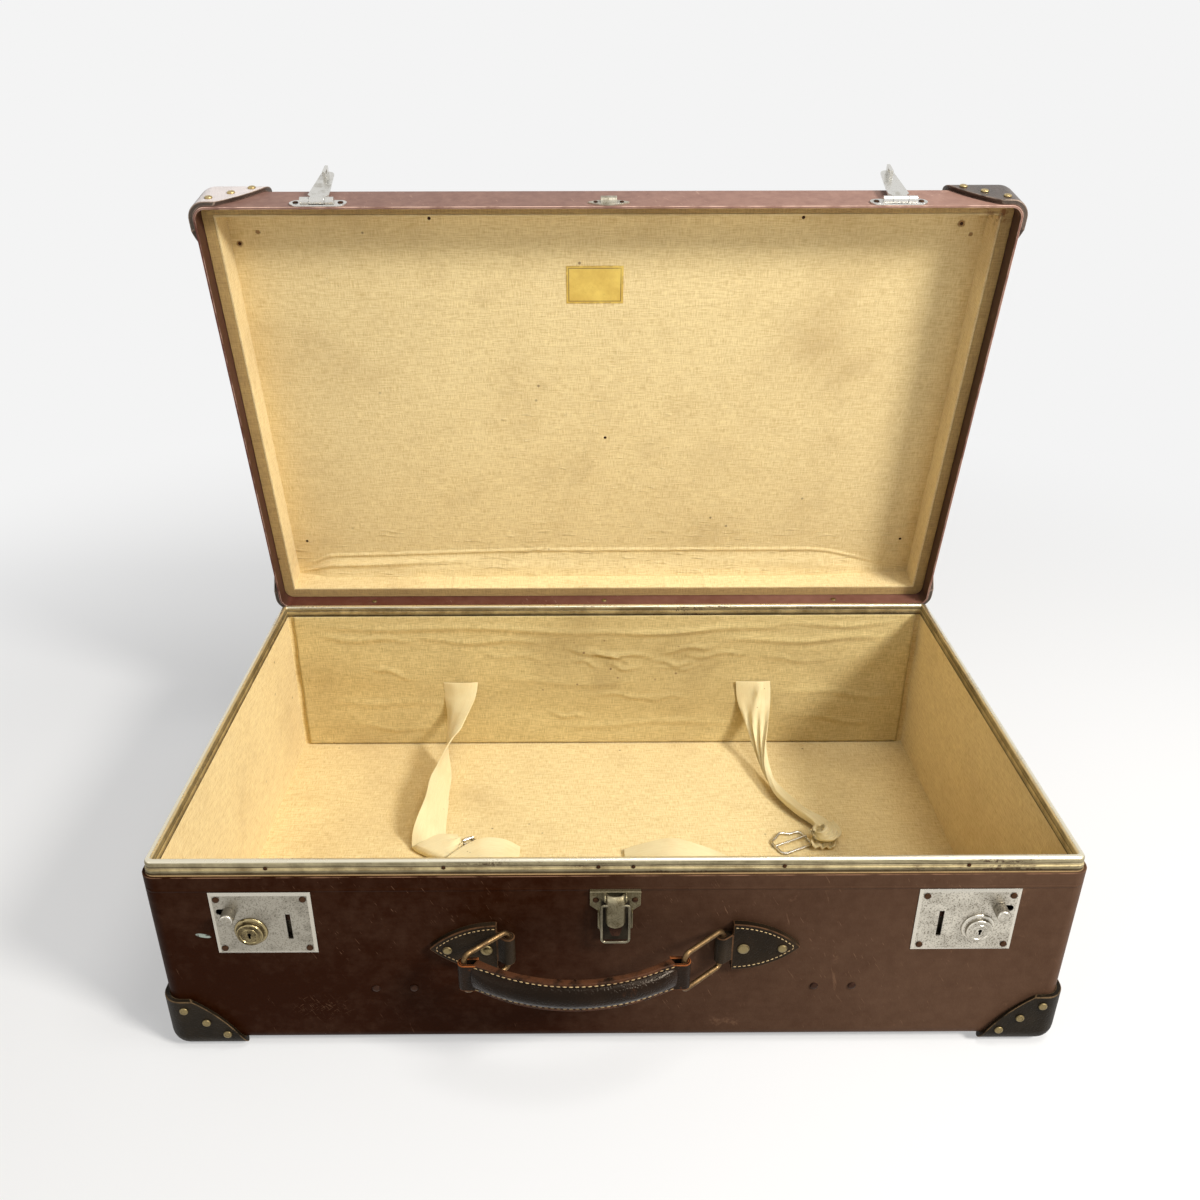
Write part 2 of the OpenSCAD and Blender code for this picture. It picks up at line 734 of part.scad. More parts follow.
// Sliding stud and the bolt that it draws out of the hasp's staple
module lock_bolt(side) {
    stem_r = 2.5;
    head_t = 3;
    stud_l = bolt_y + bolt_t - plate_y + stud_out;
    color("#9d9a8f") on_lock(side) {
        translate([stud_at[0], bolt_y + bolt_t, stud_at[1]]) rotate([90, 0, 0]) rotate_extrude() polygon([
            [0, 0], [stem_r, 0], [stem_r, stud_l - head_t], [stud_r, stud_l - head_t + 0.6],
            [stud_r, stud_l - 0.6], [stud_r - 0.8, stud_l], [0, stud_l]
        ]);
        translate([stud_at[0] - 3, bolt_y, bolt_z0]) {
            cube([6, bolt_t, stud_at[1] + 3 - bolt_z0]);
            cube([bolt_tip - stud_at[0] + 3, bolt_t, bolt_z1 - bolt_z0]);
        }
    }
}

module lock_plate_left() { lock_plate(-1); }
module lock_plate_right() { lock_plate(1); }
module lock_case_left() { lock_case(-1); }
module lock_case_right() { lock_case(1); }
module lock_cylinder_left() { lock_cylinder(-1); }
module lock_cylinder_right() { lock_cylinder(1); }
module lock_plug_left() { lock_plug(-1); }
module lock_plug_right() { lock_plug(1); }
module lock_bolt_left() { lock_bolt(-1); }
module lock_bolt_right() { lock_bolt(1); }

module lock_rivets() {
    color("#6e4a30") for (side = [-1, 1], u = [-1, 1], v = [-1, 1])
        on_lock(side) translate([u * lock_rivet_at[0], plate_y - fit, v * lock_rivet_at[1]]) rotate([90, 0, 0])
            rivet_head(5, 1.2);
}

// Hasps on the lid

hasp_span = hasp_plate_w - 2 * 9.5;
hasp_mid = hasp_span / 2 - 1;

module hasp_axis() {
    translate([0, hasp_axis_y, hasp_axis_z]) children();
}

// Riveted plate with two outer knuckles and round ends
module hasp_plate(x) {
    end_r = 6;
    plate_z = lid_edge + 1;
    gap = clear / 2;
    y0 = front_y - fit - hasp_plate_t;
    color("#c3beb0") on_lid() translate([x, 0, 0]) difference() {
        union() {
            translate([end_r - hasp_plate_w / 2, y0, plate_z])
                cube([hasp_plate_w - 2 * end_r, hasp_plate_t, 2 * end_r]);
            for (s = [-1, 1]) translate([s * (hasp_plate_w / 2 - end_r), y0 + hasp_plate_t, plate_z + end_r])
                rotate([90, 0, 0]) cylinder(r = end_r, h = hasp_plate_t);
            for (s = [-1, 1]) hasp_axis() {
                x0 = s < 0 ? -hasp_span / 2 : hasp_mid / 2 + gap;
                len = hasp_span / 2 - hasp_mid / 2 - gap;
                translate([x0, 0, 0]) rotate([0, 90, 0]) cylinder(r = hasp_knuckle_r, h = len);
                translate([x0, 0, 0]) cube([len, y0 + hasp_plate_t - hasp_axis_y, hasp_knuckle_r]);
            }
        }
        hasp_axis() translate([-hasp_plate_w, 0, 0]) rotate([0, 90, 0])
            cylinder(r = hasp_pin_r + fit / 2, h = 2 * hasp_plate_w);
        hasp_axis() translate([-hasp_mid / 2 - gap, 0, 0]) rotate([0, 90, 0])
            cylinder(r = hasp_knuckle_r + clear, h = hasp_mid + 2 * gap);
    }
}

// Flap in the shut position, drawn about its pin: tapered, with a lifting lip and the staple behind
module hasp_shut() {
    gap = clear / 2;
    neck = hasp_mid / 2 - gap;
    tip_r = hasp_w / 2 - 3;
    flap_in = flap_y - hasp_axis_y;
    lip = 3.5;
    z_top = staple_top - hasp_axis_z;
    z_low = staple_low - hasp_axis_z;
    hole_z0 = lock_z + bolt_z0 - hasp_axis_z - 0.8;
    hole_z1 = lock_z + bolt_z1 - hasp_axis_z + 0.8;
    hole_y0 = bolt_y - 0.4 - hasp_axis_y;
    difference() {
        union() {
            translate([-neck, 0, 0]) rotate([0, 90, 0]) cylinder(r = hasp_knuckle_r, h = 2 * neck);
            translate([0, flap_in, 0]) rotate([90, 0, 0]) linear_extrude(hasp_t) {
                polygon([
                    [-neck, 0], [neck, 0], [neck, -5], [hasp_w / 2, -8], [tip_r, tip_r - hasp_len],
                    [-tip_r, tip_r - hasp_len], [-hasp_w / 2, -8], [-neck, -5]
                ]);
                translate([0, tip_r - hasp_len]) circle(tip_r);
            }
            translate([2 - tip_r, flap_in - hasp_t - lip, 2 - hasp_len])
                cube([2 * tip_r - 4, lip + hasp_t, 1.4]);
            translate([-staple_t / 2, flap_in - hasp_t, z_low])
                cube([staple_t, staple_reach + front_y - flap_y + hasp_t, z_top - z_low]);
        }
        translate([-hasp_w, 0, 0]) rotate([0, 90, 0]) cylinder(r = hasp_pin_r + run, h = 2 * hasp_w);
        translate([-staple_t, hole_y0, hole_z0]) cube([2 * staple_t, bolt_t + 0.8, hole_z1 - hole_z0]);
    }
}

module hasp(x) {
    color("#cdc8ba") on_lid() translate([x, 0, 0]) hasp_axis() rotate([-hasp_open, 0, 0]) hasp_shut();
}

module hasp_plate_left() { hasp_plate(-hasp_x); }
module hasp_plate_right() { hasp_plate(hasp_x); }
module hasp_left() { hasp(-hasp_x); }
module hasp_right() { hasp(hasp_x); }

module hasp_pins() {
    color("#a39c86") on_lid() for (x = [-hasp_x, hasp_x]) translate([x, 0, 0]) hasp_axis()
        translate([-hasp_span / 2, 0, 0]) rotate([0, 90, 0]) cylinder(r = hasp_pin_r, h = hasp_span);
}

module hasp_rivets() {
    color("#8a6a44") on_lid() for (x = [-hasp_x, hasp_x], s = [-1, 1])
        on_front(x + s * (hasp_plate_w / 2 - 5), lid_edge + 7, hasp_plate_t + 2 * fit) rivet_head(4.6, 1);
}

// Draw catch on the base and its keeper on the lid

// Shouldered plate with a flanged top and two ears for the lever's pin
module catch_plate() {
    y0 = front_y - fit - catch_t;
    neck = catch_w / 2 - 6;
    ear_x = lever_w / 2 + clear;
    color("#8f8c72") difference() {
        union() {
            translate([0, y0 + catch_t, catch_top]) rotate([90, 0, 0]) linear_extrude(catch_t) polygon([
                [-catch_w / 2, 0], [catch_w / 2, 0], [catch_w / 2, -14], [neck, -19], [neck, -32],
                [neck - 3, -catch_h], [3 - neck, -catch_h], [-neck, -32], [-neck, -19], [-catch_w / 2, -14]
            ]);
            translate([-catch_w / 2, y0 - 2, catch_top - 1]) cube([catch_w, 2, 1]);
            for (s = [-1, 1]) translate([s > 0 ? ear_x : -ear_x - ear_t, 0, 0]) {
                translate([0, lever_y, lever_z]) rotate([0, 90, 0]) cylinder(r = 3, h = ear_t);
                translate([0, lever_y, lever_z - 3]) cube([ear_t, y0 - lever_y + catch_t / 2, 6]);
            }
        }
        translate([-catch_w, lever_y, lever_z]) rotate([0, 90, 0])
            cylinder(r = lever_pin_r + fit / 2, h = 2 * catch_w);
    }
}

// Lever: rolled head, hanging tongue with a thumb tab, and a barrel for the bail
module catch_lever() {
    tongue_y = lever_y - 0.6;
    tip_z = lever_z - lever_len;
    tab = 5;
    tab_w = lever_w - 2;
    color("#8a866c") difference() {
        union() {
            translate([-lever_w / 2, lever_y, lever_z]) rotate([0, 90, 0])
                cylinder(r = lever_knuckle_r, h = lever_w);
            translate([-lever_w / 2, tongue_y - lever_t, tip_z + 8]) cube([lever_w, lever_t, lever_len - 8]);
            translate([0, tongue_y, tip_z + 8]) rotate([90, 0, 0]) cylinder(d = tab_w, h = lever_t);
            translate([1.5 - tab_w / 2, tongue_y - lever_t - tab, tip_z + 4]) cube([tab_w - 3, tab + 1, 1.4]);
            translate([-lever_w / 2, bail_y, lever_z - bail_drop]) rotate([0, 90, 0])
                cylinder(r = bail_barrel_r, h = lever_w);
        }
        translate([-lever_w, lever_y, lever_z]) rotate([0, 90, 0])
            cylinder(r = lever_pin_r + run, h = 2 * lever_w);
        translate([-lever_w, bail_y, lever_z - bail_drop]) rotate([0, 90, 0])
            cylinder(r = bail_d / 2 + run, h = 2 * lever_w);
    }
}

// Wire bail hanging from the lever's barrel: two legs, a round bar below and two inturned ends
module catch_bail() {
    bend = 3;
    inner = 1.5;
    color("#bdb798") translate([0, bail_y, lever_z - bail_drop]) {
        for (s = [0, 1]) mirror([s, 0, 0]) {
            translate([inner, 0, 0]) rotate([0, 90, 0]) cylinder(d = bail_d, h = bail_x - bail_d - inner);
            translate([bail_x - bail_d, 0, -bail_d]) rotate([90, 0, 0]) rotate_extrude(angle = 90)
                translate([bail_d, 0]) circle(d = bail_d);
            translate([bail_x, 0, bend - bail_len]) cylinder(d = bail_d, h = bail_len - bend - bail_d);
            translate([bail_x - bend, 0, bend - bail_len]) rotate([90, 0, 0]) rotate(-90)
                rotate_extrude(angle = 90) translate([bend, 0]) circle(d = bail_d);
        }
        translate([bend - bail_x, 0, -bail_len]) rotate([0, 90, 0])
            cylinder(d = bail_d, h = 2 * (bail_x - bend));
    }
}

module catch_pin() {
    pin_l = lever_w + 2 * (clear + ear_t);
    color("#a39c86") translate([-pin_l / 2, lever_y, lever_z]) rotate([0, 90, 0])
        cylinder(r = lever_pin_r, h = pin_l);
}

module catch_rivets() {
    color("#7a5836") for (s = [-1, 1]) on_front(s * (catch_w / 2 - 4.2), catch_top - 9, catch_t + 2 * fit)
        rivet_head(4.6, 0.9);
}

// Pointed plate on the lid with a rolled hook for the bail
module lid_keeper() {
    keep_w = 34;
    keep_h = 11;
    roll_w = 13;
    wall = 1.2;
    y0 = front_y - fit;
    arc_r = (keep_w * keep_w / 4 + keep_h * keep_h / 4) / keep_h;
    color("#c3b98f") on_lid() {
        translate([0, y0, keeper_axis_z]) rotate([90, 0, 0]) linear_extrude(wall) intersection() {
            translate([0, arc_r - keep_h / 2]) circle(arc_r, $fn = 96);
            translate([0, keep_h / 2 - arc_r]) circle(arc_r, $fn = 96);
        }
        translate([-roll_w / 2, y0 - wall, keeper_axis_z]) rotate([0, 90, 0]) difference() {
            cylinder(r = keeper_r, h = roll_w);
            translate([0, 0, -1]) cylinder(r = keeper_r - wall, h = roll_w + 2);
            translate([-2 * keeper_r, 0, -1]) cube([4 * keeper_r, 2 * keeper_r, roll_w + 2]);
        }
    }
}

module keeper_rivets() {
    color("#8a6a44") on_lid() for (s = [-1, 1])
        on_front(s * 10.5, keeper_axis_z, 1.2 + 2 * fit) rivet_head(3.6, 0.8);
}

// Handle

// Leather tab folded round the loop's bar; drawn for the right side with the pivot at x = 0
module chape_shape() {
    flat_x = fold_r + 3;
    ogive = chape_len - flat_x;
    half = chape_h / 2;
    c = (ogive * ogive - half * half) / chape_h;
    intersection() {
        translate([0, 0, -chape_h]) linear_extrude(2 * chape_h) difference() {
            union() {
                circle(fold_r);
                polygon([
                    [0, -fold_r], [chape_len, -fold_r], [chape_len, chape_t - fold_r],
                    [flat_x, chape_t - fold_r], [fold_r * 0.5, fold_r * 0.86], [0, fold_r]
                ]);
            }
            circle(loop_d / 2 + slack);
        }
        rotate([90, 0, 0]) linear_extrude(6 * fold_r, center = true) {
            translate([-fold_r - 1, -fold_h / 2]) square([flat_x + fold_r + 4, fold_h]);
            intersection() {
                translate([flat_x, -c]) circle(half + c, $fn = 120);
                translate([flat_x, c]) circle(half + c, $fn = 120);
                translate([flat_x, -half]) square([ogive, chape_h]);
            }
        }
    }
}

module chape(side) {
    color("#2e2822") translate([side * handle_span / 2, loop_y, handle_z]) mirror([side < 0 ? 1 : 0, 0, 0])
        mirror([0, 1, 0]) chape_shape();
}

module chape_left() { chape(-1); }
module chape_right() { chape(1); }

module chape_rivets() {
    at = [fold_r + 11, chape_len - 13];
    color("#a8915e") for (side = [-1, 1], u = at)
        on_front(side * (handle_span / 2 + u), handle_z - 1, chape_t + seat + fit)
            rivet_head(u == at[0] ? 9 : 7, 1.8);
}

// Loop drawn from the chape's bar towards -X, turned out from the wall
module handle_loop(side) {
    color("#a08a58") translate([side * handle_span / 2, loop_y, handle_z]) rotate(loop_angle)
        translate([-loop_len, 0, 0]) wire_frame(loop_len, loop_h, loop_bend, loop_d);
}

module handle_loop_left() { handle_loop(-1); }
module handle_loop_right() { handle_loop(1); }

// Stuffed leather grip, bowed out, with each end folded round a loop's bar
module grip_section() {
    r = 6;
    square([grip_t - 2 * r, grip_h], center = true);
    square([grip_t, grip_h - 2 * r], center = true);
    for (x = [-1, 1], y = [-1, 1]) translate([x * (grip_t / 2 - r), y * (grip_h / 2 - r)]) circle(r);
}

module handle_grip() {
    neck = (handle_span - grip_chord) / 2;
    color("#241f1c") translate([0, loop_y, handle_z]) translate(grip_shift) difference() {
        union() {
            translate([0, grip_r - grip_bow, 0]) rotate(-90 - grip_half)
                rotate_extrude(angle = 2 * grip_half, $fn = 120) translate([grip_r, 0]) grip_section();
            for (s = [-1, 1]) {
                translate([s * handle_span / 2, 0, -fold_h / 2]) cylinder(r = grip_fold_r, h = fold_h);
                translate([s * (handle_span - neck - 2) / 2, 0, 0])
                    cube([neck + 2, 2 * grip_fold_r, grip_h - 6], center = true);
            }
        }
        for (s = [-1, 1]) translate([s * handle_span / 2, 0, -loop_h])
            cylinder(r = loop_d / 2 + slack, h = 2 * loop_h);
    }
}

// Straps inside the base

strap_top = floor_z + strap_hang;
front_in = front_y + lining_in;

// A distance along a strap's route; the routes are drawn for a reach of 192 and stretch with it
function laid(distance) = distance * strap_reach / 192;

// Where a strap's upper end rests on the cloth of the rear wall
function strap_seat(x) =
    min([for (dx = [-0.5, 0, 0.5], dz = [0, 10, 20]) cloth_front(x + dx * strap_w, strap_top - laid(dz))])
    - strap_t / 2 - clear;
left_y = strap_seat(laid(9) - strap_x);
right_y = strap_seat(strap_x - laid(3));

// Height at which a strap's middle clears the floor when its width is tipped by the side's rise
function lying(rise) = floor_z + strap_t / 2 + 2 * clear + strap_w / 2 * rise;

// Hangs from the rear wall with half a twist, then folds over on the floor with its tip to the right
module rear_strap_left() {
    x = -strap_x;
    color("#f0dcab") ribbon([
        [x + laid(9), left_y, strap_top, 1, 0, 0, 1],
        [x + laid(6), left_y - laid(4), strap_top - laid(19), 0.95, -0.25, 0.1, 1],
        [x, left_y - laid(24), strap_top - laid(38), 0.55, -0.7, 0.45, 1],
        [x - laid(3), left_y - laid(48), strap_top - laid(47), -0.1, -0.75, 0.65, 1],
        [x - laid(6), left_y - laid(80), lying(0.9), -0.8, -0.4, 0.4, 1],
        [x - laid(8), left_y - laid(112), lying(0.6), -0.9, -0.1, 0.35, 1],
        [x - laid(10), left_y - laid(140), lying(0.2), -0.98, 0, 0.15, 1],
        [x - laid(10), left_y - laid(162), lying(0.06), -1, 0, 0, 1],
        [x - laid(11), left_y - laid(183), lying(0.02), -0.866, 0.5, 0, 1.15],
        [x - laid(10.6), left_y - laid(187.2), lying(0.02) + laid(2), -0.866, 0.5, 0, 1.15],
        [x - laid(8.5), left_y - laid(188.4), lying(0.02) + laid(6), -0.866, 0.5, 0, 1.15],
        [x - laid(4.7), left_y - laid(186.6), lying(0.02) + laid(8), -0.866, 0.5, 0, 1.15],
        [x + laid(10.9), left_y - laid(177.6), lying(0.02) + laid(7.5), -0.5, 0.866, 0, 1],
        [x + laid(21.3), left_y - laid(171.6), lying(0.02) + laid(6), -0.5, 0.866, 0, 0.4]
    ], strap_w, strap_t);
}

// Hangs from the rear wall, crumples to a rope and ends in a gathered tab round the buckle's bar
module rear_strap_right() {
    x = strap_x;
    color("#f0dcab") ribbon([
        [x - laid(3), right_y, strap_top, 1, 0, 0, 1],
        [x - laid(1.5), right_y - laid(4), strap_top - laid(21), 0.95, -0.2, 0.1, 1],
        [x + laid(2), right_y - laid(22), strap_top - laid(41), 0.75, -0.45, 0.35, 0.85],
        [x + laid(3), right_y - laid(52), lying(0.9), 0.45, -0.6, 0.6, 0.62],
        [x + laid(5), right_y - laid(80), lying(0.45), -0.1, -0.7, 0.6, 0.42],
        [x + laid(14), right_y - laid(104), lying(0.3), -0.6, -0.6, 0.5, 0.42],
        [x + laid(30), right_y - laid(130), lying(0.25), -0.7, -0.6, 0.35, 0.46],
        [x + laid(45), right_y - laid(146), lying(0.25), -0.75, -0.6, 0.25, 0.5],
        [x + laid(47), right_y - laid(160), lying(0.25), -0.9, -0.35, 0.15, 0.62],
        [x + laid(43), right_y - laid(180), lying(0.2), -0.97, -0.1, 0.1, 0.68]
    ], strap_w, strap_t);
}

// Comes off the front wall, lies on the floor and arches to the right at its end
module front_strap_left() {
    x = -strap_x;
    color("#f0dcab") ribbon([
        [x - laid(2), front_in + laid(1.5), floor_z + strap_rise, 1, 0, 0, 1],
        [x - laid(2), front_in + laid(3.4), floor_z + laid(22), 1, 0, 0, 1],
        [x - laid(2), front_in + laid(20), lying(0.1), 1, 0, 0, 1],
        [x - laid(2), front_in + laid(80), lying(0), 1, 0, 0, 1],
        [x + laid(4), front_in + laid(128), lying(0.02), 0.98, -0.17, 0, 1],
        [x + laid(20), front_in + laid(164), lying(0.5), 0.75, -0.65, 0, 1],
        [x + laid(42), front_in + laid(186), lying(0.82), 0.35, -0.94, 0, 1],
        [x + laid(62), front_in + laid(192), lying(0.6), 0.1, -1, 0, 1],
        [x + laid(78), front_in + laid(192), lying(0.1), 0, -1, 0, 1]
    ], strap_w, strap_t);
}

module front_strap_right() {
    x = strap_x;
    color("#f0dcab") ribbon([
        [x + laid(2), front_in + laid(1.5), floor_z + strap_rise, 1, 0, 0, 1],
        [x + laid(2), front_in + laid(3.4), floor_z + laid(22), 1, 0, 0, 1],
        [x + laid(2), front_in + laid(20), lying(0.1), 1, 0, 0, 1],
        [x - laid(2), front_in + laid(80), lying(0), 1, 0, 0, 1],
        [x - laid(18), front_in + laid(132), lying(0.02), 0.9, 0.4, 0, 1],
        [x - laid(54), front_in + laid(172), lying(0.25), 0.5, 0.87, 0, 1],
        [x - laid(94), front_in + laid(186), lying(0.78), 0.1, 1, 0, 1],
        [x - laid(124), front_in + laid(188), lying(0.5), 0, 1, 0, 1],
        [x - laid(144), front_in + laid(188), lying(0.06), 0, 1, 0, 1]
    ], strap_w, strap_t);
}

// Wire buckle lying on the floor, its prong resting on the far bar
module strap_buckle_right() {
    rise = floor_z + clear + buckle_d / 2;
    color("#9a968c") translate([strap_x + laid(14.5), right_y - laid(170), rise]) rotate(26)
        translate([-buckle_w / 2, 0, 0]) {
            rotate([90, 0, 0]) wire_frame(buckle_w, buckle_h, 5, buckle_d);
            translate([-1.5, 0, buckle_d / 2 + 1.2]) rotate([0, 90, 0]) cylinder(d = 2, h = buckle_w + 1);
        }
}

// Small wire ring and prong in the tip of the left strap
module strap_ring_left() {
    rise = floor_z + clear + buckle_d / 2;
    color("#9a968c") translate([-strap_x + laid(23.6), left_y - laid(168), rise]) rotate(30) {
        rotate([90, 0, 0]) wire_frame(ring_w, ring_h, 3, buckle_d);
        translate([0, 0, buckle_d / 2 + 1.2]) rotate([0, 90, 0]) cylinder(d = 2, h = ring_w);
    }
}

// Rivets that hold the front straps, seen on the front wall
module strap_rivets() {
    color("#4d3a2c") for (s = [-1, 1], d = [-14, 14])
        on_front(s * (strap_x + laid(2)) + d, floor_z + strap_rise - 6, fit) rivet_head(6, 1.6);
}

base_shell();
base_frame();
rim_channel();
base_lining();
rear_wall_cloth();
base_corner_caps();
base_cap_rivets();
lid_shell();
lid_frame();
lid_lining();
lid_label();
lid_corner_caps();
lid_cap_rivets();
hinge_base_leaves();
hinge_lid_leaves();
hinge_pins();
hinge_base_rivets();
hinge_lid_rivets();
lock_plate_left();
lock_plate_right();
lock_case_left();
lock_case_right();
lock_cylinder_left();
lock_cylinder_right();
lock_plug_left();
lock_plug_right();
lock_bolt_left();
lock_bolt_right();
lock_rivets();
hasp_plate_left();
hasp_plate_right();
hasp_left();
hasp_right();
hasp_pins();
hasp_rivets();
catch_plate();
catch_lever();
catch_bail();
catch_pin();
catch_rivets();
lid_keeper();
keeper_rivets();
chape_left();
chape_right();
chape_rivets();
handle_loop_left();
handle_loop_right();
handle_grip();
rear_strap_left();
rear_strap_right();
front_strap_left();
front_strap_right();
strap_ring_left();
strap_buckle_right();
strap_rivets();
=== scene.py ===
# %% [markdown]
# # An old fibre suitcase, lying open
# The real case is a box of brown vulcanised fibre with leather corners, a metal rim and a linen
# lining. Its solids are already made and jointed. This lesson loads them as a fixed frame and gives
# each piece its surface, its rounded edges and the soft shape that a plain solid can't have.

# %% Load the solids
import math

import bmesh
import bpy
from mathutils import Matrix, Vector, noise


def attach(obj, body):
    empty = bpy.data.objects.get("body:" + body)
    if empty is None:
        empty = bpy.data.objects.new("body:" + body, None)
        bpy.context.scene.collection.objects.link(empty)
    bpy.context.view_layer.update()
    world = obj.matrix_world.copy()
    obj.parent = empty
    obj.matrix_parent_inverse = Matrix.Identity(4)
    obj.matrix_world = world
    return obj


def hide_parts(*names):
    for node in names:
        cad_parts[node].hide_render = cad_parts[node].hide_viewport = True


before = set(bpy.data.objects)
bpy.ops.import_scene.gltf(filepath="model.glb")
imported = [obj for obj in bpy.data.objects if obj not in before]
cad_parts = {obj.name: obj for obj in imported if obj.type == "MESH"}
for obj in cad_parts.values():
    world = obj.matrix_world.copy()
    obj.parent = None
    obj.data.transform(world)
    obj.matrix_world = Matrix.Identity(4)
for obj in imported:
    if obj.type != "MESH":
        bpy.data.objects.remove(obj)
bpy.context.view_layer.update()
MM = 0.001

# %% [markdown]
# ## Camera
# The photograph was taken from a little above the front edge with a wide lens. The place, the tilt
# and the lens were worked out from the rim's four corners and the lid's edges, so the numbers are
# used as they are.

# %% The camera
PHOTO, FOCAL, CENTRE_X, CENTRE_Y = 1200, 1085.5, 587.9, 615.1  # width, focal length and centre, in pixels
SENSOR, TILT_DOWN, ROLL, YAW = 36, 27.053, 0.089, -0.344  # millimetres, then degrees
camera_data = bpy.data.cameras.new("photo_camera")
camera_data.sensor_width = SENSOR
camera_data.lens = FOCAL / PHOTO * SENSOR
camera_data.shift_x = (PHOTO / 2 - CENTRE_X) / PHOTO
camera_data.shift_y = (CENTRE_Y - PHOTO / 2) / PHOTO
camera_data.clip_start, camera_data.clip_end = 0.02, 60
camera = bpy.data.objects.new("photo_camera", camera_data)
camera.location = (-0.02212, -0.79495, 0.66606)
camera.rotation_euler = [math.radians(angle) for angle in (90 - TILT_DOWN, ROLL, YAW)]
bpy.context.scene.collection.objects.link(camera)
bpy.context.scene.camera = camera
print("lens", round(camera_data.lens, 2), "mm")

# %% [markdown]
# ## Writing shader maths as sums
# A finish is a small network of nodes. Wiring each Math node by hand hides the idea, so a Signal
# wraps one socket and lets Python's own + - * / build the nodes. A Finish owns the material and makes
# every other node through one method: the node's type, its settings, then the values or links of its
# sockets.


# %% Signals and finishes
def add(tree, kind, settings=None, links=None):
    """Makes one node of any tree; links gives an input its value, or the socket that feeds it."""
    made = tree.nodes.new(kind)
    for key, value in (settings or {}).items():
        setattr(made, key, value)
    for key, value in (links or {}).items():
        if isinstance(value, bpy.types.NodeSocket):
            tree.links.new(value, made.inputs[key])
        else:
            made.inputs[key].default_value = value
    return made.outputs


class Signal:
    """One output socket of a finish, ready for arithmetic."""

    def __init__(self, finish, socket):
        self.finish, self.socket = finish, socket

    def math(self, operation, other=0.0, swapped=False):
        first, second = (other, self) if swapped else (self, other)
        return self.finish.node("ShaderNodeMath", {"operation": operation}, {0: first, 1: second})

    def __add__(self, other):
        return self.math("ADD", other)

    def __sub__(self, other):
        return self.math("SUBTRACT", other)

    def __rsub__(self, other):
        return self.math("SUBTRACT", other, swapped=True)

    def __mul__(self, other):
        return self.math("MULTIPLY", other)

    def __truediv__(self, other):
        return self.math("DIVIDE", other)

    def __pow__(self, other):
        return self.math("POWER", other)

    def __abs__(self):
        return self.math("ABSOLUTE")

    __radd__ = __add__
    __rmul__ = __mul__

    def sine(self):
        return self.math("SINE")

    def step(self, low, high):
        """0 below low, 1 above high, and a soft rise between them; it falls where low is the larger."""
        return self.finish.node(
            "ShaderNodeMapRange",
            {"interpolation_type": "SMOOTHSTEP"},
            {"Value": self, "From Min": low, "From Max": high},
        )


class Finish:
    """A material under construction."""

    def __init__(self, name, **plain):
        self.material = bpy.data.materials.new(name)
        self.material.use_nodes = True
        self.tree = self.material.node_tree
        self.shader = self.tree.nodes["Principled BSDF"]
        for socket, value in plain.items():
            self.shader.inputs[socket.replace("_", " ")].default_value = value

    def node(self, kind, settings=None, links=None, out=0):
        wired = {key: getattr(value, "socket", value) for key, value in (links or {}).items()}
        outputs = add(self.tree, kind, settings, wired)
        if isinstance(out, tuple):
            return [Signal(self, outputs[each]) for each in out]
        return Signal(self, outputs[out])

    def feed(self, **signals):
        for socket, value in signals.items():
            self.tree.links.new(value.socket, self.shader.inputs[socket.replace("_", " ")])

    def join(self, x, y, z=0.0):
        return self.node("ShaderNodeCombineXYZ", None, {0: x, 1: y, 2: z})

    def split(self, vector):
        return self.node("ShaderNodeSeparateXYZ", None, {0: vector}, out=(0, 1, 2))

    def cloud(self, at, scale, detail=4.0, rough=0.55):
        links = {"Vector": at, "Scale": scale, "Detail": detail, "Roughness": rough}
        return self.node("ShaderNodeTexNoise", None, links)

    def cells(self, at, scale):
        return self.node("ShaderNodeTexVoronoi", None, {"Vector": at, "Scale": scale})

    def mix(self, share, first, second):
        return self.node("ShaderNodeMix", {"data_type": "RGBA"}, {0: share, 6: first, 7: second}, out=2)

    def mark(self, name):
        return self.node("ShaderNodeAttribute", {"attribute_name": name}, out=2)

    def relief(self, height, depth):
        """Bump from a height of 0 to 1 that stands for depth metres."""
        links = {"Strength": 1.0, "Distance": depth, "Height": height}
        self.feed(Normal=self.node("ShaderNodeBump", None, links))


def oval(across, up, half_width, half_height):
    """Below 1 inside an oval; across and up are signals that count from its middle."""
    return (across / half_width) ** 2 + (up / half_height) ** 2


def srgb(red, green, blue):
    """A colour from a paint chart, 0 to 255, as the linear numbers that shaders mix."""
    parts = [c / 255 for c in (red, green, blue)]
    return tuple(c / 12.92 if c <= 0.04045 else ((c + 0.055) / 1.055) ** 2.4 for c in parts) + (1.0,)


print("mid grey is", [round(c, 3) for c in srgb(128, 128, 128)])

# %% [markdown]
# ## Reading the place on a piece
# Patterns use Object coordinates, so they stay put on the piece. The lid stands open by 78 degrees,
# and a weave has to run along its own walls, so a Mapping node first turns the lid's coordinates back
# to the shut lid. For cloth, the surface's own direction then says which two of the three axes run
# along it.

# %% Places along a surface
HINGE = Vector((0, 0.2075, 0.16025))
LID_TURN = math.radians(78)
LID_BACK = Matrix.Rotation(LID_TURN, 3, "X")


def place(finish, lid=False):
    at = finish.node("ShaderNodeTexCoord", out="Object")
    if lid:
        shut = {"Vector": at, "Rotation": (LID_TURN, 0, 0), "Location": HINGE - LID_BACK @ HINGE}
        at = finish.node("ShaderNodeMapping", {"vector_type": "POINT"}, shut)
    return at


def opened(shut_place):
    """A place on the shut lid, in millimetres, as it lies on the open lid, in metres."""
    return HINGE + LID_BACK.transposed() @ (shut_place * MM - HINGE)


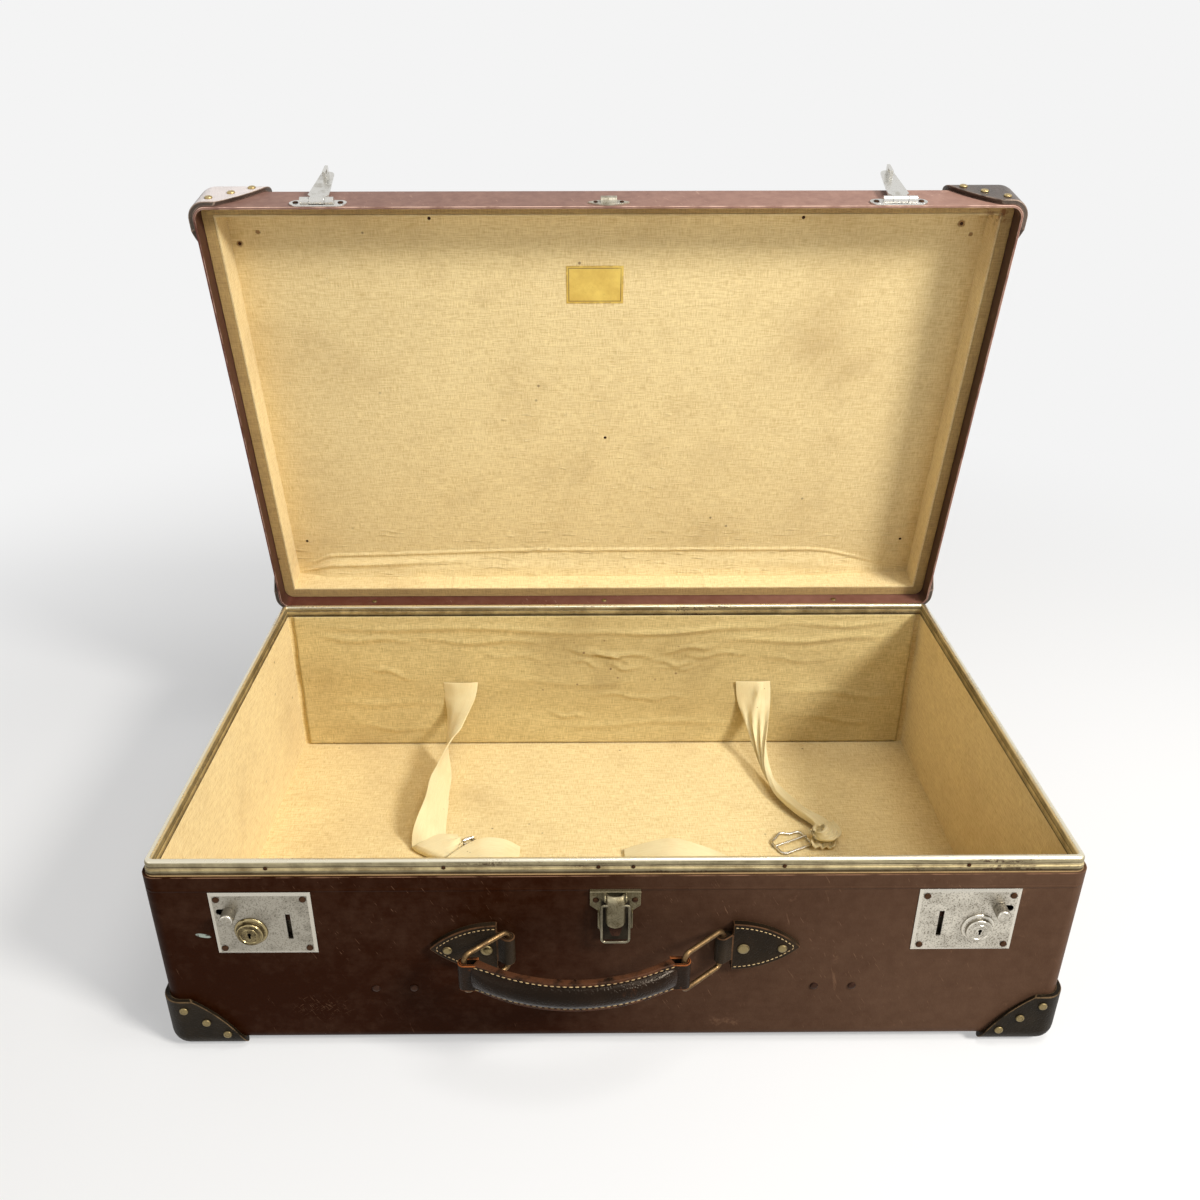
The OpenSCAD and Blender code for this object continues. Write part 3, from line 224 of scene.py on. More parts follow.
def shut_facing(finish, lid=True):
    """The direction that the surface faces, for the lid as it would be with the case shut."""
    facing = finish.node("ShaderNodeTexCoord", out="Normal")
    if lid:
        back = {0: facing, 2: (LID_TURN, 0, 0)}
        facing = finish.node("ShaderNodeMapping", {"vector_type": "VECTOR"}, back)
    return facing


def thread_axes(finish, at, lid=False):
    """Two distances along the surface, in metres, that follow the threads of a lining."""
    facing = shut_facing(finish, lid)
    x, y, z = finish.split(at)
    across, _, up = [abs(part).step(0.45, 0.55) for part in finish.split(facing)]
    return x * (1 - across) + y * across, y * up + z * (1 - up)


print("lid turned back by", round(math.degrees(LID_TURN)), "degrees about the hinge")

# %% [markdown]
# ## Vulcanised fibre
# Fibre board is pressed paper, sealed with a brown varnish. It has a satin sheen, a slow mottle of
# darker and redder patches, a faint horizontal grain and pale scuffs where the varnish has gone. One
# function makes it for base and lid, and paints both lighter towards the right: a painted sheen. The
# base has a faint pressed line a thumb's width under its top edge, a smear of old paint and a nest of
# scratches on its front. The lid is painted paler along its opening edge, a painted sheen, and the
# inner faces of its side walls are painted dark, darkest on the right: painted shade.


# %% Fibre finish
PRESSED_LINE_Z = 0.1483
NEST_X, NEST_Z = -0.218, 0.036
SMEAR_X, SMEAR_Z = -0.2955, 0.107


def fibre_finish(name, dark, light, scuff, gloss, lid=False):
    f = Finish(name, Roughness=0.4, Specular_IOR_Level=gloss, Specular_Tint=(1.0, 0.86, 0.72, 1.0))
    at = place(f, lid)
    x, y, z = f.split(at)
    mottle = f.cloud(at, 11, 6, 0.6)
    patch = f.cloud(at, 3.1, 3)
    grain = f.cloud(f.join(x * 14, y * 14, z * 420), 1, 3)
    speck = f.cloud(at, 700, 2)
    # Painted sheen: the fibre is painted lighter towards the right, strongly on the base and a little on
    # the lid.
    painted_sheen = (x + patch * 0.12).step(-0.06, 0.36) * (0.25 if lid else 0.58)
    pebble = f.cloud(at, 130, 5, 0.6)
    tone = mottle * 0.5 + pebble * 0.35 + patch * 0.3 + grain * 0.06 + painted_sheen - 0.56
    scratch = f.cloud(f.join(x * 160 + z * 40, y * 160, z * 22), 1, 5, 0.7).step(0.66, 0.72)
    hair = f.cloud(f.join(x * 900 + z * 500, y * 900, z * 60 - x * 90), 1, 2, 0.5).step(0.7, 0.74)
    hair = hair * f.cloud(at, 7, 2).step(0.5, 0.62)
    rubbed = f.cloud(at, 26, 8, 0.72).step(0.62, 0.72) * patch.step(0.42, 0.62)
    edge = f.mark("wear_and_shade") * f.cloud(at, 60, 5).step(0.38, 0.62)
    chip = f.cells(at, 15).step(0.016, 0.008)
    dust = f.cells(at, 330).step(0.09, 0.04) * f.cloud(at, 12, 3).step(0.52, 0.7)
    colour = f.mix(tone.math("MAXIMUM", 0.0), dark, light)
    pale = scratch * 0.3 + hair * 0.45 + rubbed * 0.35 + edge * 0.8 + chip + dust * 0.35
    if lid:
        # Painted sheen: the lid is painted paler along its opening edge, the face that looks up when the
        # lid is open.
        pale = pale + y.step(-0.19, -0.203) * (0.08 + pebble * 0.3)
        across, _, _ = f.split(shut_facing(f))
        # Painted shade: the inner faces of the lid's side walls are painted dark, darker on the right,
        # and lose their pale marks.
        inner = (x * across).step(-0.12, -0.25)
        pale = pale * (1 - inner * 0.8)
        colour = f.mix(inner * (0.6 + x.step(-0.1, 0.1) * 0.25), colour, srgb(52, 34, 26))
    else:
        nest = f.cloud(f.join(x * 1400 + z * 900, y, z * 120 - x * 80), 1, 2, 0.5).step(0.62, 0.68)
        nest = nest + f.cloud(f.join(x * 900 - z * 1300, y, z * 100 + x * 70), 1, 2, 0.5).step(0.64, 0.7)
        near = oval(x - NEST_X, z - NEST_Z, 0.024, 0.014)
        pale = pale + nest * near.step(1.2, 0.3) * y.step(-0.19, -0.2) * 0.38
        dab = oval(x - SMEAR_X, z - SMEAR_Z + (x - SMEAR_X) * 0.2, 0.0056, 0.0019)
        smear = dab.step(1.1, 0.7) * y.step(-0.19, -0.2) * f.cloud(at, 420, 3).step(0.35, 0.5)
        colour = f.mix(smear, colour, srgb(158, 168, 158))
    pale = pale.math("MINIMUM", 1.0)
    rough = (0.42 if lid else 0.34) + mottle * 0.16 + pale * 0.25
    f.feed(Base_Color=f.mix(pale, colour, scuff), Roughness=rough)
    line = abs(z - PRESSED_LINE_Z).step(0.0016, 0.0004) * (0.0 if lid else 0.7)
    f.relief(mottle * 0.4 + pebble * 0.35 + speck * 0.12 + grain * 0.05 - pale * 0.1 + line, 0.0006)
    return f.material


BASE_FIBRE = fibre_finish("base_fibre", srgb(40, 16, 4), srgb(98, 74, 58), srgb(128, 96, 74), 0.025)
# The lid's fibre colours are set lighter than the base's: partly its own redder colour, partly painted
# light on the faces that look up.
LID_FIBRE = fibre_finish(
    "lid_fibre", srgb(84, 44, 35), srgb(164, 122, 106), srgb(208, 174, 158), 0.4, lid=True)
print("fibre:", BASE_FIBRE.name, LID_FIBRE.name)

# %% [markdown]
# ## Linen lining
# The inside is covered with unbleached linen glued to card. Each thread is about half a millimetre,
# with thick slubs that run a few centimetres along it. Two noises stretched along the two thread
# directions give the slubs, and a product of sines gives the weave itself. Age adds soft brown clouds
# and flecks. In the lid it also adds rust round the tacks and in the right front corner, and the lid's
# cloth is painted darker towards its side walls and its opening edge: painted shade. The lid's linen
# is set lighter than the base's, a painted light, and the rear wall's cloth darker, partly its own
# tone and partly painted shade.


# %% Linen finish
WEAVE_PITCH = 0.0011
RUST_SPOTS = (  # place on the shut lid and radius, in metres
    (0.2993, -0.1745, 0.0042), (0.309, -0.1655, 0.0024),
    (-0.313, -0.159, 0.0036), (-0.2956, -0.1688, 0.0026))


def puckers(f, at):
    """Short puckers that lie across the lid's cloth close to the hinge, and a few in its middle."""
    x, y, _ = f.split(at)
    pucker = f.cloud(f.join(x * 34, y * 190), 1, 3, 0.6).step(0.56, 0.72) * y.step(0.1, 0.15)
    dimple = f.cloud(f.join(x * 60, y * 260, 4.0), 1, 2).step(0.63, 0.75)
    dimple = dimple * abs(x + 0.02).step(0.16, 0.05)
    return pucker * 0.45 + dimple * abs(y - 0.04).step(0.12, 0.03) * 0.4


def linen_finish(name, light, shade, stain, lid=False, soil_and_shade=0.0):
    f = Finish(name, Roughness=0.88, Sheen_Weight=0.15, Sheen_Roughness=0.5)
    at = place(f, lid)
    along, up = thread_axes(f, at, lid)
    warp = f.cloud(f.join(along * 1700, up * 110), 1, 2)
    weft = f.cloud(f.join(along * 110, up * 1700, 5.3), 1, 2)
    turn = 2 * math.pi / WEAVE_PITCH
    weave = (along * turn).sine() * (up * turn).sine() * 0.5 + 0.5
    slub = (warp + weft) * 0.5
    streak = f.cloud(f.join(along * 150, up * 900, 2.7), 1, 3, 0.6)
    age = f.cloud(at, 4.5, 5, 0.6).step(0.45, 0.78)
    drift = f.cloud(at, 17, 6, 0.65).step(0.5, 0.8)
    fleck = f.cells(at, 42).step(0.075, 0.03) * f.cloud(at, 9, 2).step(0.5, 0.62)
    freckle = f.cells(at, 240).step(0.16, 0.05) * f.cloud(at, 21, 3).step(0.55, 0.72)
    tone = (slub - 0.5) * 4.2 + (streak - 0.5) * 0.35 + (weave - 0.5) * 0.3 + 0.6
    cloth = f.mix(tone, shade, light)
    aged = f.mix(age * 0.35 + drift * 0.22 + streak.step(0.64, 0.78) * 0.2, cloth, stain)
    height = slub * 0.9 + weave * 0.35
    x, y, _ = f.split(at)
    if lid:
        rust = x.step(0.29, 0.322) * y.step(-0.168, -0.196) * f.cloud(at, 160, 5, 0.7).step(0.48, 0.6)
        for spot_x, spot_y, size in RUST_SPOTS:
            away = oval(x - spot_x, y - spot_y, size, size)
            rust = rust + (away + f.cloud(at, 420, 4) * 1.2).step(1.5, 0.7)
        aged = f.mix(rust.math("MINIMUM", 0.85), aged, srgb(116, 66, 24))
    # Painted shade: the lid's cloth is painted darker towards its side walls and its opening edge; the
    # same switch adds its puckers.
    if soil_and_shade:
        painted_edge_shade = abs(x + 0.02).step(0.08, 0.3) + y.step(-0.1, -0.19) * 0.6
        aged = f.mix(painted_edge_shade * (age * 0.5 + 0.6) * soil_and_shade, aged, stain)
        height = height + puckers(f, at) * 4
    f.feed(Base_Color=f.mix(fleck * 0.75 + freckle * 0.4, aged, srgb(96, 58, 26)))
    f.relief(height, 0.0005)
    return f.material


BASE_LINEN = linen_finish("base_linen", srgb(246, 226, 172), srgb(212, 184, 122), srgb(172, 138, 82))
# Set lighter than the base's linen: painted light.
LID_LINEN = linen_finish(
    "lid_linen", srgb(254, 234, 180), srgb(220, 193, 132), srgb(172, 138, 84), lid=True, soil_and_shade=0.28)
# Set darker than the base's linen: partly its own tone, partly painted shade.
CLOTH_LINEN = linen_finish("rear_linen", srgb(224, 203, 144), srgb(180, 158, 101), srgb(138, 112, 64))
FRAME_CLOTH = linen_finish(
    "frame_khaki", srgb(196, 164, 104), srgb(160, 130, 80), srgb(120, 86, 46), lid=True)
FRAME_WOOD = linen_finish("frame_wood", srgb(176, 146, 96), srgb(146, 118, 74), srgb(110, 78, 44))
print("linen in five shades, weave pitch", WEAVE_PITCH / MM, "mm")

# %% [markdown]
# ## Metals
# Nickel, brass and steel differ in colour, but age in the same way: a dull film in patches, dark
# specks, and patches of brown rust. One function mixes bright metal, film and rust. Where it is rusty
# it is no longer metallic, so the same mask drives the Metallic socket. The mark wear is above nought
# on rubbed edges. Below nought it is painted shade: a darker film in hollows and on turned sides, and
# near black in deep holes. A mask can add more painted shade in the rust's colour.


# %% Metal finishes
RUST = srgb(92, 54, 30)


def metal_finish(
        name, bright, film, rough, filmed, rusted, lid=False, blotch=0.7, veil=0.0, painted_shade=None, rust=RUST):
    """Metal under a film; rough, filmed and rusted say how dull, how covered and how rusty it is."""
    f = Finish(name, Metallic=1.0, Roughness=rough, Specular_IOR_Level=0.15)
    at = place(f, lid)
    haze = f.cloud(at, 70, 6, 0.65)
    speck = f.cloud(at, 900, 3, 0.6)
    patch = f.cloud(at, 26, 7, 0.7)
    dull = haze.step(0.62 - filmed * 0.3, 0.72 - filmed * 0.1) * blotch
    dull = (dull + speck.step(0.48, 0.68) * 0.75 * filmed).math("MINIMUM", 1.0)
    brown = patch.step(0.72 - rusted * 0.2, 0.8 - rusted * 0.16)
    brown = (brown * speck.step(0.3, 0.55)).math("MINIMUM", 1.0)
    # The optional mask is painted shade, mixed in with the rust.
    if painted_shade:
        brown = brown.math("MAXIMUM", painted_shade(f, at))
    mark = f.mark("wear_and_shade")
    # Below nought the mark is painted shade: hollows get a darker film and the deepest marks go near
    # black.
    edge, hollow = mark.math("MAXIMUM", 0.0), (mark * -1).math("MAXIMUM", 0.0)
    hole_shade = mark.step(-1.2, -1.8)
    dull = ((dull + veil) * (1 - edge * 0.85) + hollow * 0.7).math("MINIMUM", 1.0)
    aged = f.mix(brown, f.mix(dull, bright, film), rust)
    f.feed(
        Base_Color=f.mix(hole_shade, aged, srgb(14, 11, 8)),
        Metallic=(1 - brown * 0.85 - dull * 0.2) * (1 - hole_shade),
        Roughness=rough + dull * 0.22 + brown * 0.4 - edge * 0.08,
    )
    f.relief(speck * 0.35 - brown * 0.6 + haze * 0.4, 0.00018)
    return f.material


def behind_lever(f, at):
    """Painted shade on the catch plate: it darkens the hollow that the lever covers."""
    x, _, z = f.split(at)
    return abs(x).step(0.0112, 0.0095) * z.step(0.1405, 0.1375) * 0.95


NICKEL = metal_finish(
    "lock_nickel", srgb(214, 208, 194), srgb(112, 105, 92), 0.3, 0.9, 0.12, blotch=0.3, veil=0.12)
SATIN_NICKEL = metal_finish(
    "satin_nickel", srgb(206, 200, 186), srgb(112, 106, 93), 0.32, 0.5, 0.1, blotch=0.2, veil=0.5)
LID_NICKEL = metal_finish(
    "hasp_nickel", srgb(218, 216, 210), srgb(160, 156, 146), 0.26, 0.4, 0.1, lid=True)
LOCK_BRASS = metal_finish("lock_brass", srgb(166, 150, 110), srgb(74, 63, 42), 0.28, 0.7, 0.1, veil=0.4)
RIVET_BRASS = metal_finish("rivet_brass", srgb(140, 124, 87), srgb(84, 70, 47), 0.4, 0.7, 0.3, veil=0.15)
LID_RIVET_BRASS = metal_finish(
    "lid_rivet_brass", srgb(190, 168, 118), srgb(118, 98, 62), 0.34, 0.65, 0.25, lid=True)
LOOP_BRASS = metal_finish("loop_brass", srgb(126, 101, 68), srgb(78, 59, 39), 0.38, 0.8, 0.35)
CATCH_STEEL = metal_finish("catch_steel", srgb(160, 150, 122), srgb(98, 88, 64), 0.36, 0.8, 0.25)
LID_STEEL = metal_finish("lid_steel", srgb(196, 190, 172), srgb(122, 114, 96), 0.32, 0.6, 0.2, lid=True)
BAIL_STEEL = metal_finish("bail_steel", srgb(150, 142, 120), srgb(94, 86, 66), 0.3, 0.7, 0.2)
# Its rust colour is nearly black, so it also serves as the painted shade behind the lever.
PLATE_STEEL = metal_finish(
    "plate_steel", srgb(156, 146, 116), srgb(94, 84, 60), 0.36, 0.8, 0.1,
    painted_shade=behind_lever, rust=srgb(30, 22, 14))
HINGE_STEEL = metal_finish("hinge_steel", srgb(150, 140, 122), srgb(92, 82, 66), 0.38, 0.7, 0.4)
RUST_RIVET = metal_finish(
    "rust_rivet", srgb(74, 50, 33), srgb(50, 33, 21), 0.5, 0.9, 0.7, rust=srgb(46, 27, 16))
DARK_RIVET = metal_finish(
    "dark_rivet", srgb(64, 44, 34), srgb(42, 26, 20), 0.5, 0.8, 0.4, rust=srgb(40, 21, 15))
BUCKLE_STEEL = metal_finish("buckle_steel", srgb(206, 202, 192), srgb(130, 124, 110), 0.24, 0.35, 0.2)
print("fifteen metals, all aged by one rule")

# %% [markdown]
# ## The rim
# A folded strip of plated steel is pressed over the base's edge. Its round top is rubbed bright, the
# face below is grey, and the foot band keeps a khaki lacquer. These bands follow the height, so the
# finish reads z.


# %% Rim finish
def rim_finish():
    f = Finish("rim_plating", Metallic=1.0, Roughness=0.32)
    at = place(f)
    x, y, z = f.split(at)
    haze = f.cloud(at, 38, 7, 0.7)
    speck = f.cloud(at, 520, 4, 0.65)
    run = f.cloud(f.join(x * 9, y * 9, z * 90), 1, 6, 0.7)
    stroke = f.cloud(f.join(x * 16, y * 16, z * 1100), 1, 4, 0.6)
    top = z.step(0.1694, 0.1704)
    bead = z.step(0.1632, 0.1636) * z.step(0.1660, 0.1654)
    seam = abs(z - 0.1664).step(0.0005, 0.0001) + z.step(0.1620, 0.1611)
    grey = haze.step(0.32, 0.66) * 0.6 + stroke.step(0.4, 0.66) * 0.4
    plain = f.mix(grey, srgb(176, 164, 130), srgb(100, 90, 66))
    lacquer = f.mix(haze.step(0.35, 0.7), srgb(196, 180, 136), srgb(128, 110, 74))
    colour = f.mix(top * 0.9, f.mix(bead, plain, lacquer), srgb(236, 228, 204))
    rust = run.step(0.55, 0.66) * speck.step(0.4, 0.58) * (1 - top * 0.6)
    worn = (rust + seam * (0.45 + haze * 0.6)).math("MINIMUM", 1.0)
    f.feed(
        Base_Color=f.mix(worn, colour, srgb(70, 50, 30)),
        Metallic=0.9 - bead * 0.3 - worn * 0.5,
        Roughness=0.42 - top * 0.2 + worn * 0.3 + haze * 0.12,
    )
    f.relief(haze * 0.5 + speck * 0.3 - rust * 0.5 - seam * 1.2, 0.0004)
    return f.material


RIM_PLATING = rim_finish()
print("rim finish made")

# %% [markdown]
# ## Leather
# Corner caps, handle and chapes are vegetable-tanned leather blackened with age. The grain is a field
# of small cells with fine creases across it. Where edges rub, the black wears through to brown, so
# the rounded edge faces carry a mark named wear that the finish reads. The lid's caps are set paler
# than the base's, partly their own colour and partly painted sheen, and the front of the lid's left
# cap is painted pale: a painted sheen.


# %% Leather finishes
PORES = 620  # cells of grain along one metre


def leather_finish(name, dark, light, worn, gloss, shine=0.1, lid=False):
    f = Finish(name, Roughness=gloss, Specular_IOR_Level=shine, Specular_Tint=(1.0, 0.86, 0.7, 1.0))
    at = place(f, lid)
    swirl = f.node("ShaderNodeTexNoise", None, {"Vector": at, "Scale": 90.0}, out=1)
    drift = f.node("ShaderNodeVectorMath", {"operation": "SCALE"}, {0: swirl, 3: 0.004})
    warped = f.node("ShaderNodeVectorMath", {"operation": "ADD"}, {0: at, 1: drift})
    grain = f.cells(warped, PORES)
    fold = f.cloud(at, 120, 6, 0.7)
    cloud = f.cloud(at, 22, 5, 0.6)
    rub = f.mark("wear_and_shade") * f.cloud(at, 95, 5, 0.6).step(0.3, 0.58)
    scuff = f.cloud(at, 48, 8, 0.75).step(0.6, 0.74)
    tired = (rub * 0.85 + scuff * 0.4).math("MINIMUM", 1.0)
    colour = f.mix(tired, f.mix(cloud.step(0.3, 0.75), dark, light), worn)
    if lid:
        x, _, _ = f.split(at)
        _, front, _ = f.split(shut_facing(f))
        # Painted sheen: the front of the lid's left cap is painted pale.
        painted_cap_sheen = x.step(-0.22, -0.25) * front.step(-0.75, -0.95)
        colour = f.mix(painted_cap_sheen * (0.75 + cloud * 0.45 - fold * 0.2), colour, srgb(236, 226, 224))
    f.feed(
        Base_Color=colour,
        Roughness=gloss - 0.08 + cloud * 0.14 + tired * 0.22,
    )
    f.relief(grain.step(0.0, 0.6) * 0.5 + fold * 0.6, 0.00035)
    return f.material


CAP_LEATHER = leather_finish("cap_leather", srgb(22, 18, 12), srgb(46, 38, 28), srgb(104, 84, 60), 0.5)
# The lid's caps are set paler than the base's: partly their own colour, partly painted sheen.
LID_CAP_LEATHER = leather_finish(
    "lid_cap_leather", srgb(44, 35, 30), srgb(92, 78, 70), srgb(150, 130, 116), 0.38, 0.7, lid=True)
GRIP_LEATHER = leather_finish(
    "grip_leather", srgb(20, 12, 7), srgb(42, 28, 19), srgb(84, 51, 32), 0.26, 0.12)
CHAPE_LEATHER = leather_finish(
    "chape_leather", srgb(24, 18, 11), srgb(46, 36, 25), srgb(90, 62, 40), 0.42, 0.08)
FOLD_LEATHER = leather_finish("fold_leather", srgb(17, 11, 7), srgb(38, 25, 16), srgb(146, 82, 40), 0.42)
print("five leathers")

# %% [markdown]
# ## Cotton, thread and paper
# The straps are woven cotton tape: a fine twill whose ribs run slantwise. Their pattern follows the
# tape, so it reads the tape's own UV map, laid out in metres. Thread is a twisted cream linen, and
# the label is bare yellowed paper with a thin ruled border.


# %% Cotton, thread and paper finishes
RIB_PITCH = 0.0014
LABEL_X, LABEL_Y, LABEL_HALF_W, LABEL_HALF_H = -0.0105, -0.122, 0.025, 0.017


def cotton_finish():
    f = Finish("cotton_tape", Roughness=0.85, Sheen_Weight=0.2, Sheen_Roughness=0.5)
    across, along, _ = f.split(f.node("ShaderNodeUVMap", {"uv_map": "tape"}))
    turn = 2 * math.pi / RIB_PITCH
    rib = ((across + along) * turn).sine() * 0.5 + 0.5
    pick = (along * turn * 1.6).sine() * 0.5 + 0.5
    at = place(f)
    slub = f.cloud(f.join(across * 900, along * 60), 1, 3)
    soil_and_shade = f.cloud(at, 30, 6, 0.65).step(0.45, 0.75)
    cell = f.cells(at, 110).step(0.1, 0.04) * f.cloud(at, 20, 2).step(0.55, 0.65)
    tone = rib * 0.25 + pick * 0.1 + slub * 0.8 - 0.1
    cloth = f.mix(tone, srgb(226, 206, 152), srgb(246, 236, 194))
    soiled = f.mix(soil_and_shade * 0.4, cloth, srgb(222, 194, 138))
    f.feed(Base_Color=f.mix(cell * 0.5, soiled, srgb(120, 80, 44)))
    f.relief(rib * 0.45 + pick * 0.25 + slub * 0.6, 0.00035)
    return f.material


def thread_finish(name, colour, worn):
    f = Finish(name, Roughness=0.75, Sheen_Weight=0.1)
    at = place(f)
    twist = f.cloud(at, 1600, 2)
    soil_and_shade = f.cloud(at, 60, 4).step(0.4, 0.7)
    f.feed(Base_Color=f.mix(soil_and_shade * 0.7 + twist * 0.2, colour, worn))
    f.relief(twist, 0.0002)
    return f.material


def label_finish():
    f = Finish("label_paper", Roughness=0.5, Coat_Weight=0.15, Coat_Roughness=0.35)
    at = place(f, lid=True)
    x, y, _ = f.split(at)
    across, down = abs(x - LABEL_X), abs(y - LABEL_Y)
    inside = (across - LABEL_HALF_W).math("MAXIMUM", down - LABEL_HALF_H)
    ruled = abs(inside + 0.0022).step(0.00055, 0.0002)
    fade = f.cloud(at, 45, 5, 0.6)
    fleck = f.cloud(at, 420, 4, 0.7).step(0.6, 0.7)
    edge = inside.step(-0.0022, 0.0) * f.cloud(at, 160, 4).step(0.4, 0.6)
    paper = f.mix(fade.step(0.3, 0.75), srgb(236, 207, 104), srgb(212, 176, 80))
    tired = f.mix(edge * 0.6 + fleck * 0.25, paper, srgb(150, 112, 48))
    f.feed(Base_Color=f.mix(ruled * fade.step(0.2, 0.5) * 0.75, tired, srgb(92, 64, 28)))
    f.relief(f.cloud(at, 260, 5), 0.0003)
    return f.material


COTTON = cotton_finish()
THREAD = thread_finish("cream_thread", srgb(198, 170, 120), srgb(124, 92, 54))
LABEL_PAPER = label_finish()
print("cotton, thread and paper made")

# %% [markdown]
# ## Dressing a solid
# A rigid solid already has the right shape, but its edges are knife-sharp and catch no light. A copy
# is merged, its flat areas are joined up, and every sharp edge is rounded with a Bevel. The narrow
# new faces get the mark wear, so finishes can rub them. The copy replaces the solid, which stays
# behind for collision.


# %% Copy, round and show
def solid_copy(node):
    shape = bmesh.new()
    shape.from_mesh(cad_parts[node].data)
    for layer in list(shape.loops.layers.uv):
        shape.loops.layers.uv.remove(layer)
    bmesh.ops.remove_doubles(shape, verts=shape.verts, dist=2e-6)
    bmesh.ops.dissolve_degenerate(shape, edges=shape.edges, dist=1e-6)
    flat = math.radians(0.6)
    bmesh.ops.dissolve_limit(shape, angle_limit=flat, verts=shape.verts, edges=shape.edges)
    return shape


def round_edges(shape, width, angle=32, steps=2):
    wear_and_shade = shape.faces.layers.float.get("wear_and_shade") or shape.faces.layers.float.new("wear_and_shade")
    if width:
        sharp = [e for e in shape.edges if e.is_manifold and e.calc_face_angle() > math.radians(angle)]
        made = bmesh.ops.bevel(
            shape, geom=sharp, offset=width, segments=steps, profile=0.5, affect="EDGES",
            clamp_overlap=True)
        for face in made["faces"]:
            face[wear_and_shade] = 1.0
    return shape


def mount(name, mesh, body, nodes):
    """Puts a mesh into the scene as a piece that rides on a body and stands for its solids."""
    piece = bpy.data.objects.new(name, mesh)
    bpy.context.scene.collection.objects.link(piece)
    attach(piece, body)
    if nodes:
        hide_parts(*nodes)
    return piece


def show(name, shape, finish, body, slot, *nodes, sharp=38, weigh=True):
    """Turns a bmesh into a finished piece."""
    mesh = bpy.data.meshes.new(name)
    shape.to_mesh(mesh)
    shape.free()
    mesh.materials.append(finish)
    mesh.shade_smooth()
    mesh.set_sharp_from_angle(angle=math.radians(sharp))
    piece = mount(name, mesh, body, nodes)
    if weigh:
        even = piece.modifiers.new("even_shading", "WEIGHTED_NORMAL")
        even.keep_sharp = True
    return piece


def dress(node, finish, body, slot, width, angle=32, steps=2, reshape=None):
    shape = solid_copy(node)
    if reshape:
        reshape(shape)
    return show(node + "_piece", round_edges(shape, width * MM, angle, steps), finish, body, slot, node)


def new_shape():
    """An empty bmesh, and the layer of its faces that holds the mark wear."""
    shape = bmesh.new()
    return shape, shape.faces.layers.float.new("wear_and_shade")


def join_rings(shape, rings, closed=False):
    """A skin of quads over rings of equally many points; gives back its faces."""
    around, made = len(rings[0]), []
    for low, high in zip(rings, rings[1:] + (rings[:1] if closed else [])):
        for k in range(around):
            j = (k + 1) % around
            made.append(shape.faces.new((low[k], low[j], high[j], high[k])))
    return made


def circle(sides):
    """Cosine and sine of equal steps round a circle."""
    turns = [2 * math.pi * k / sides for k in range(sides)]
    return [(math.cos(t), math.sin(t)) for t in turns]


SIDES = (("left", -1), ("right", 1))
print("ready to dress", len(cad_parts), "solids")

# %% Shells, frames and linings
dress("base_shell", BASE_FIBRE, "base", "fibre", 0.5, 40)
dress("lid_shell", LID_FIBRE, "lid", "fibre", 0.5, 40)
dress("base_frame", FRAME_WOOD, "base", "frame_wood", 0.4)
dress("lid_frame", FRAME_CLOTH, "lid", "frame_wood", 0.8)
dress("rim_channel", RIM_PLATING, "base", "rim_metal", 0.25, 50)
dress("base_lining", BASE_LINEN, "base", "lining", 0.6)
dress("lid_lining", LID_LINEN, "lid", "lining", 0.6)
dress("lid_label", LABEL_PAPER, "lid", "label", 0.1)
print("shells, frames and linings dressed")

# %% [markdown]
# ## Leather corners and metal fittings
# Leather is cut from thick hide, so its edges get a wide, soft rounding. Pressed metal has a small
# one.


# %% Corners, hinges and catch
dress("base_corner_caps", CAP_LEATHER, "base", "cap_leather", 1.1, 35, 3)
dress("lid_corner_caps", LID_CAP_LEATHER, "lid", "cap_leather", 1.1, 35, 3)
dress("hinge_base_leaves", HINGE_STEEL, "base", "hinge_steel", 0.25)
dress("hinge_lid_leaves", HINGE_STEEL, "lid", "hinge_steel", 0.25)
dress("hinge_pins", HINGE_STEEL, "base", "hinge_steel", 0.25)
dress("catch_plate", PLATE_STEEL, "base", "catch_steel", 0.25)
dress("catch_bail", BAIL_STEEL, "bail", "catch_steel", 0.1, 60)
dress("catch_pin", CATCH_STEEL, "base", "catch_steel", 0.2)
dress("lid_keeper", LID_STEEL, "lid", "catch_steel", 0.25)


def catch_flange(side, sign):
    """A turned-up edge on one side of the catch plate's neck, cut slantwise below."""
    shape = bmesh.new()
    bmesh.ops.create_cube(shape, size=1)
    size, at = Vector((0.8, 3.0, 17.0)) * MM, Vector((sign * 12.0, -206.6, 121.5)) * MM
    bmesh.ops.scale(shape, vec=size, verts=shape.verts)
    bmesh.ops.translate(shape, vec=at, verts=shape.verts)
    for vert in shape.verts:
        if vert.co.y < at.y and vert.co.z < at.z:
            vert.co.z += 4 * MM
    return show(f"catch_flange_{side}", round_edges(shape, 0.2 * MM), CATCH_STEEL, "base", "catch_steel")


for side, sign in SIDES:
    catch_flange(side, sign)


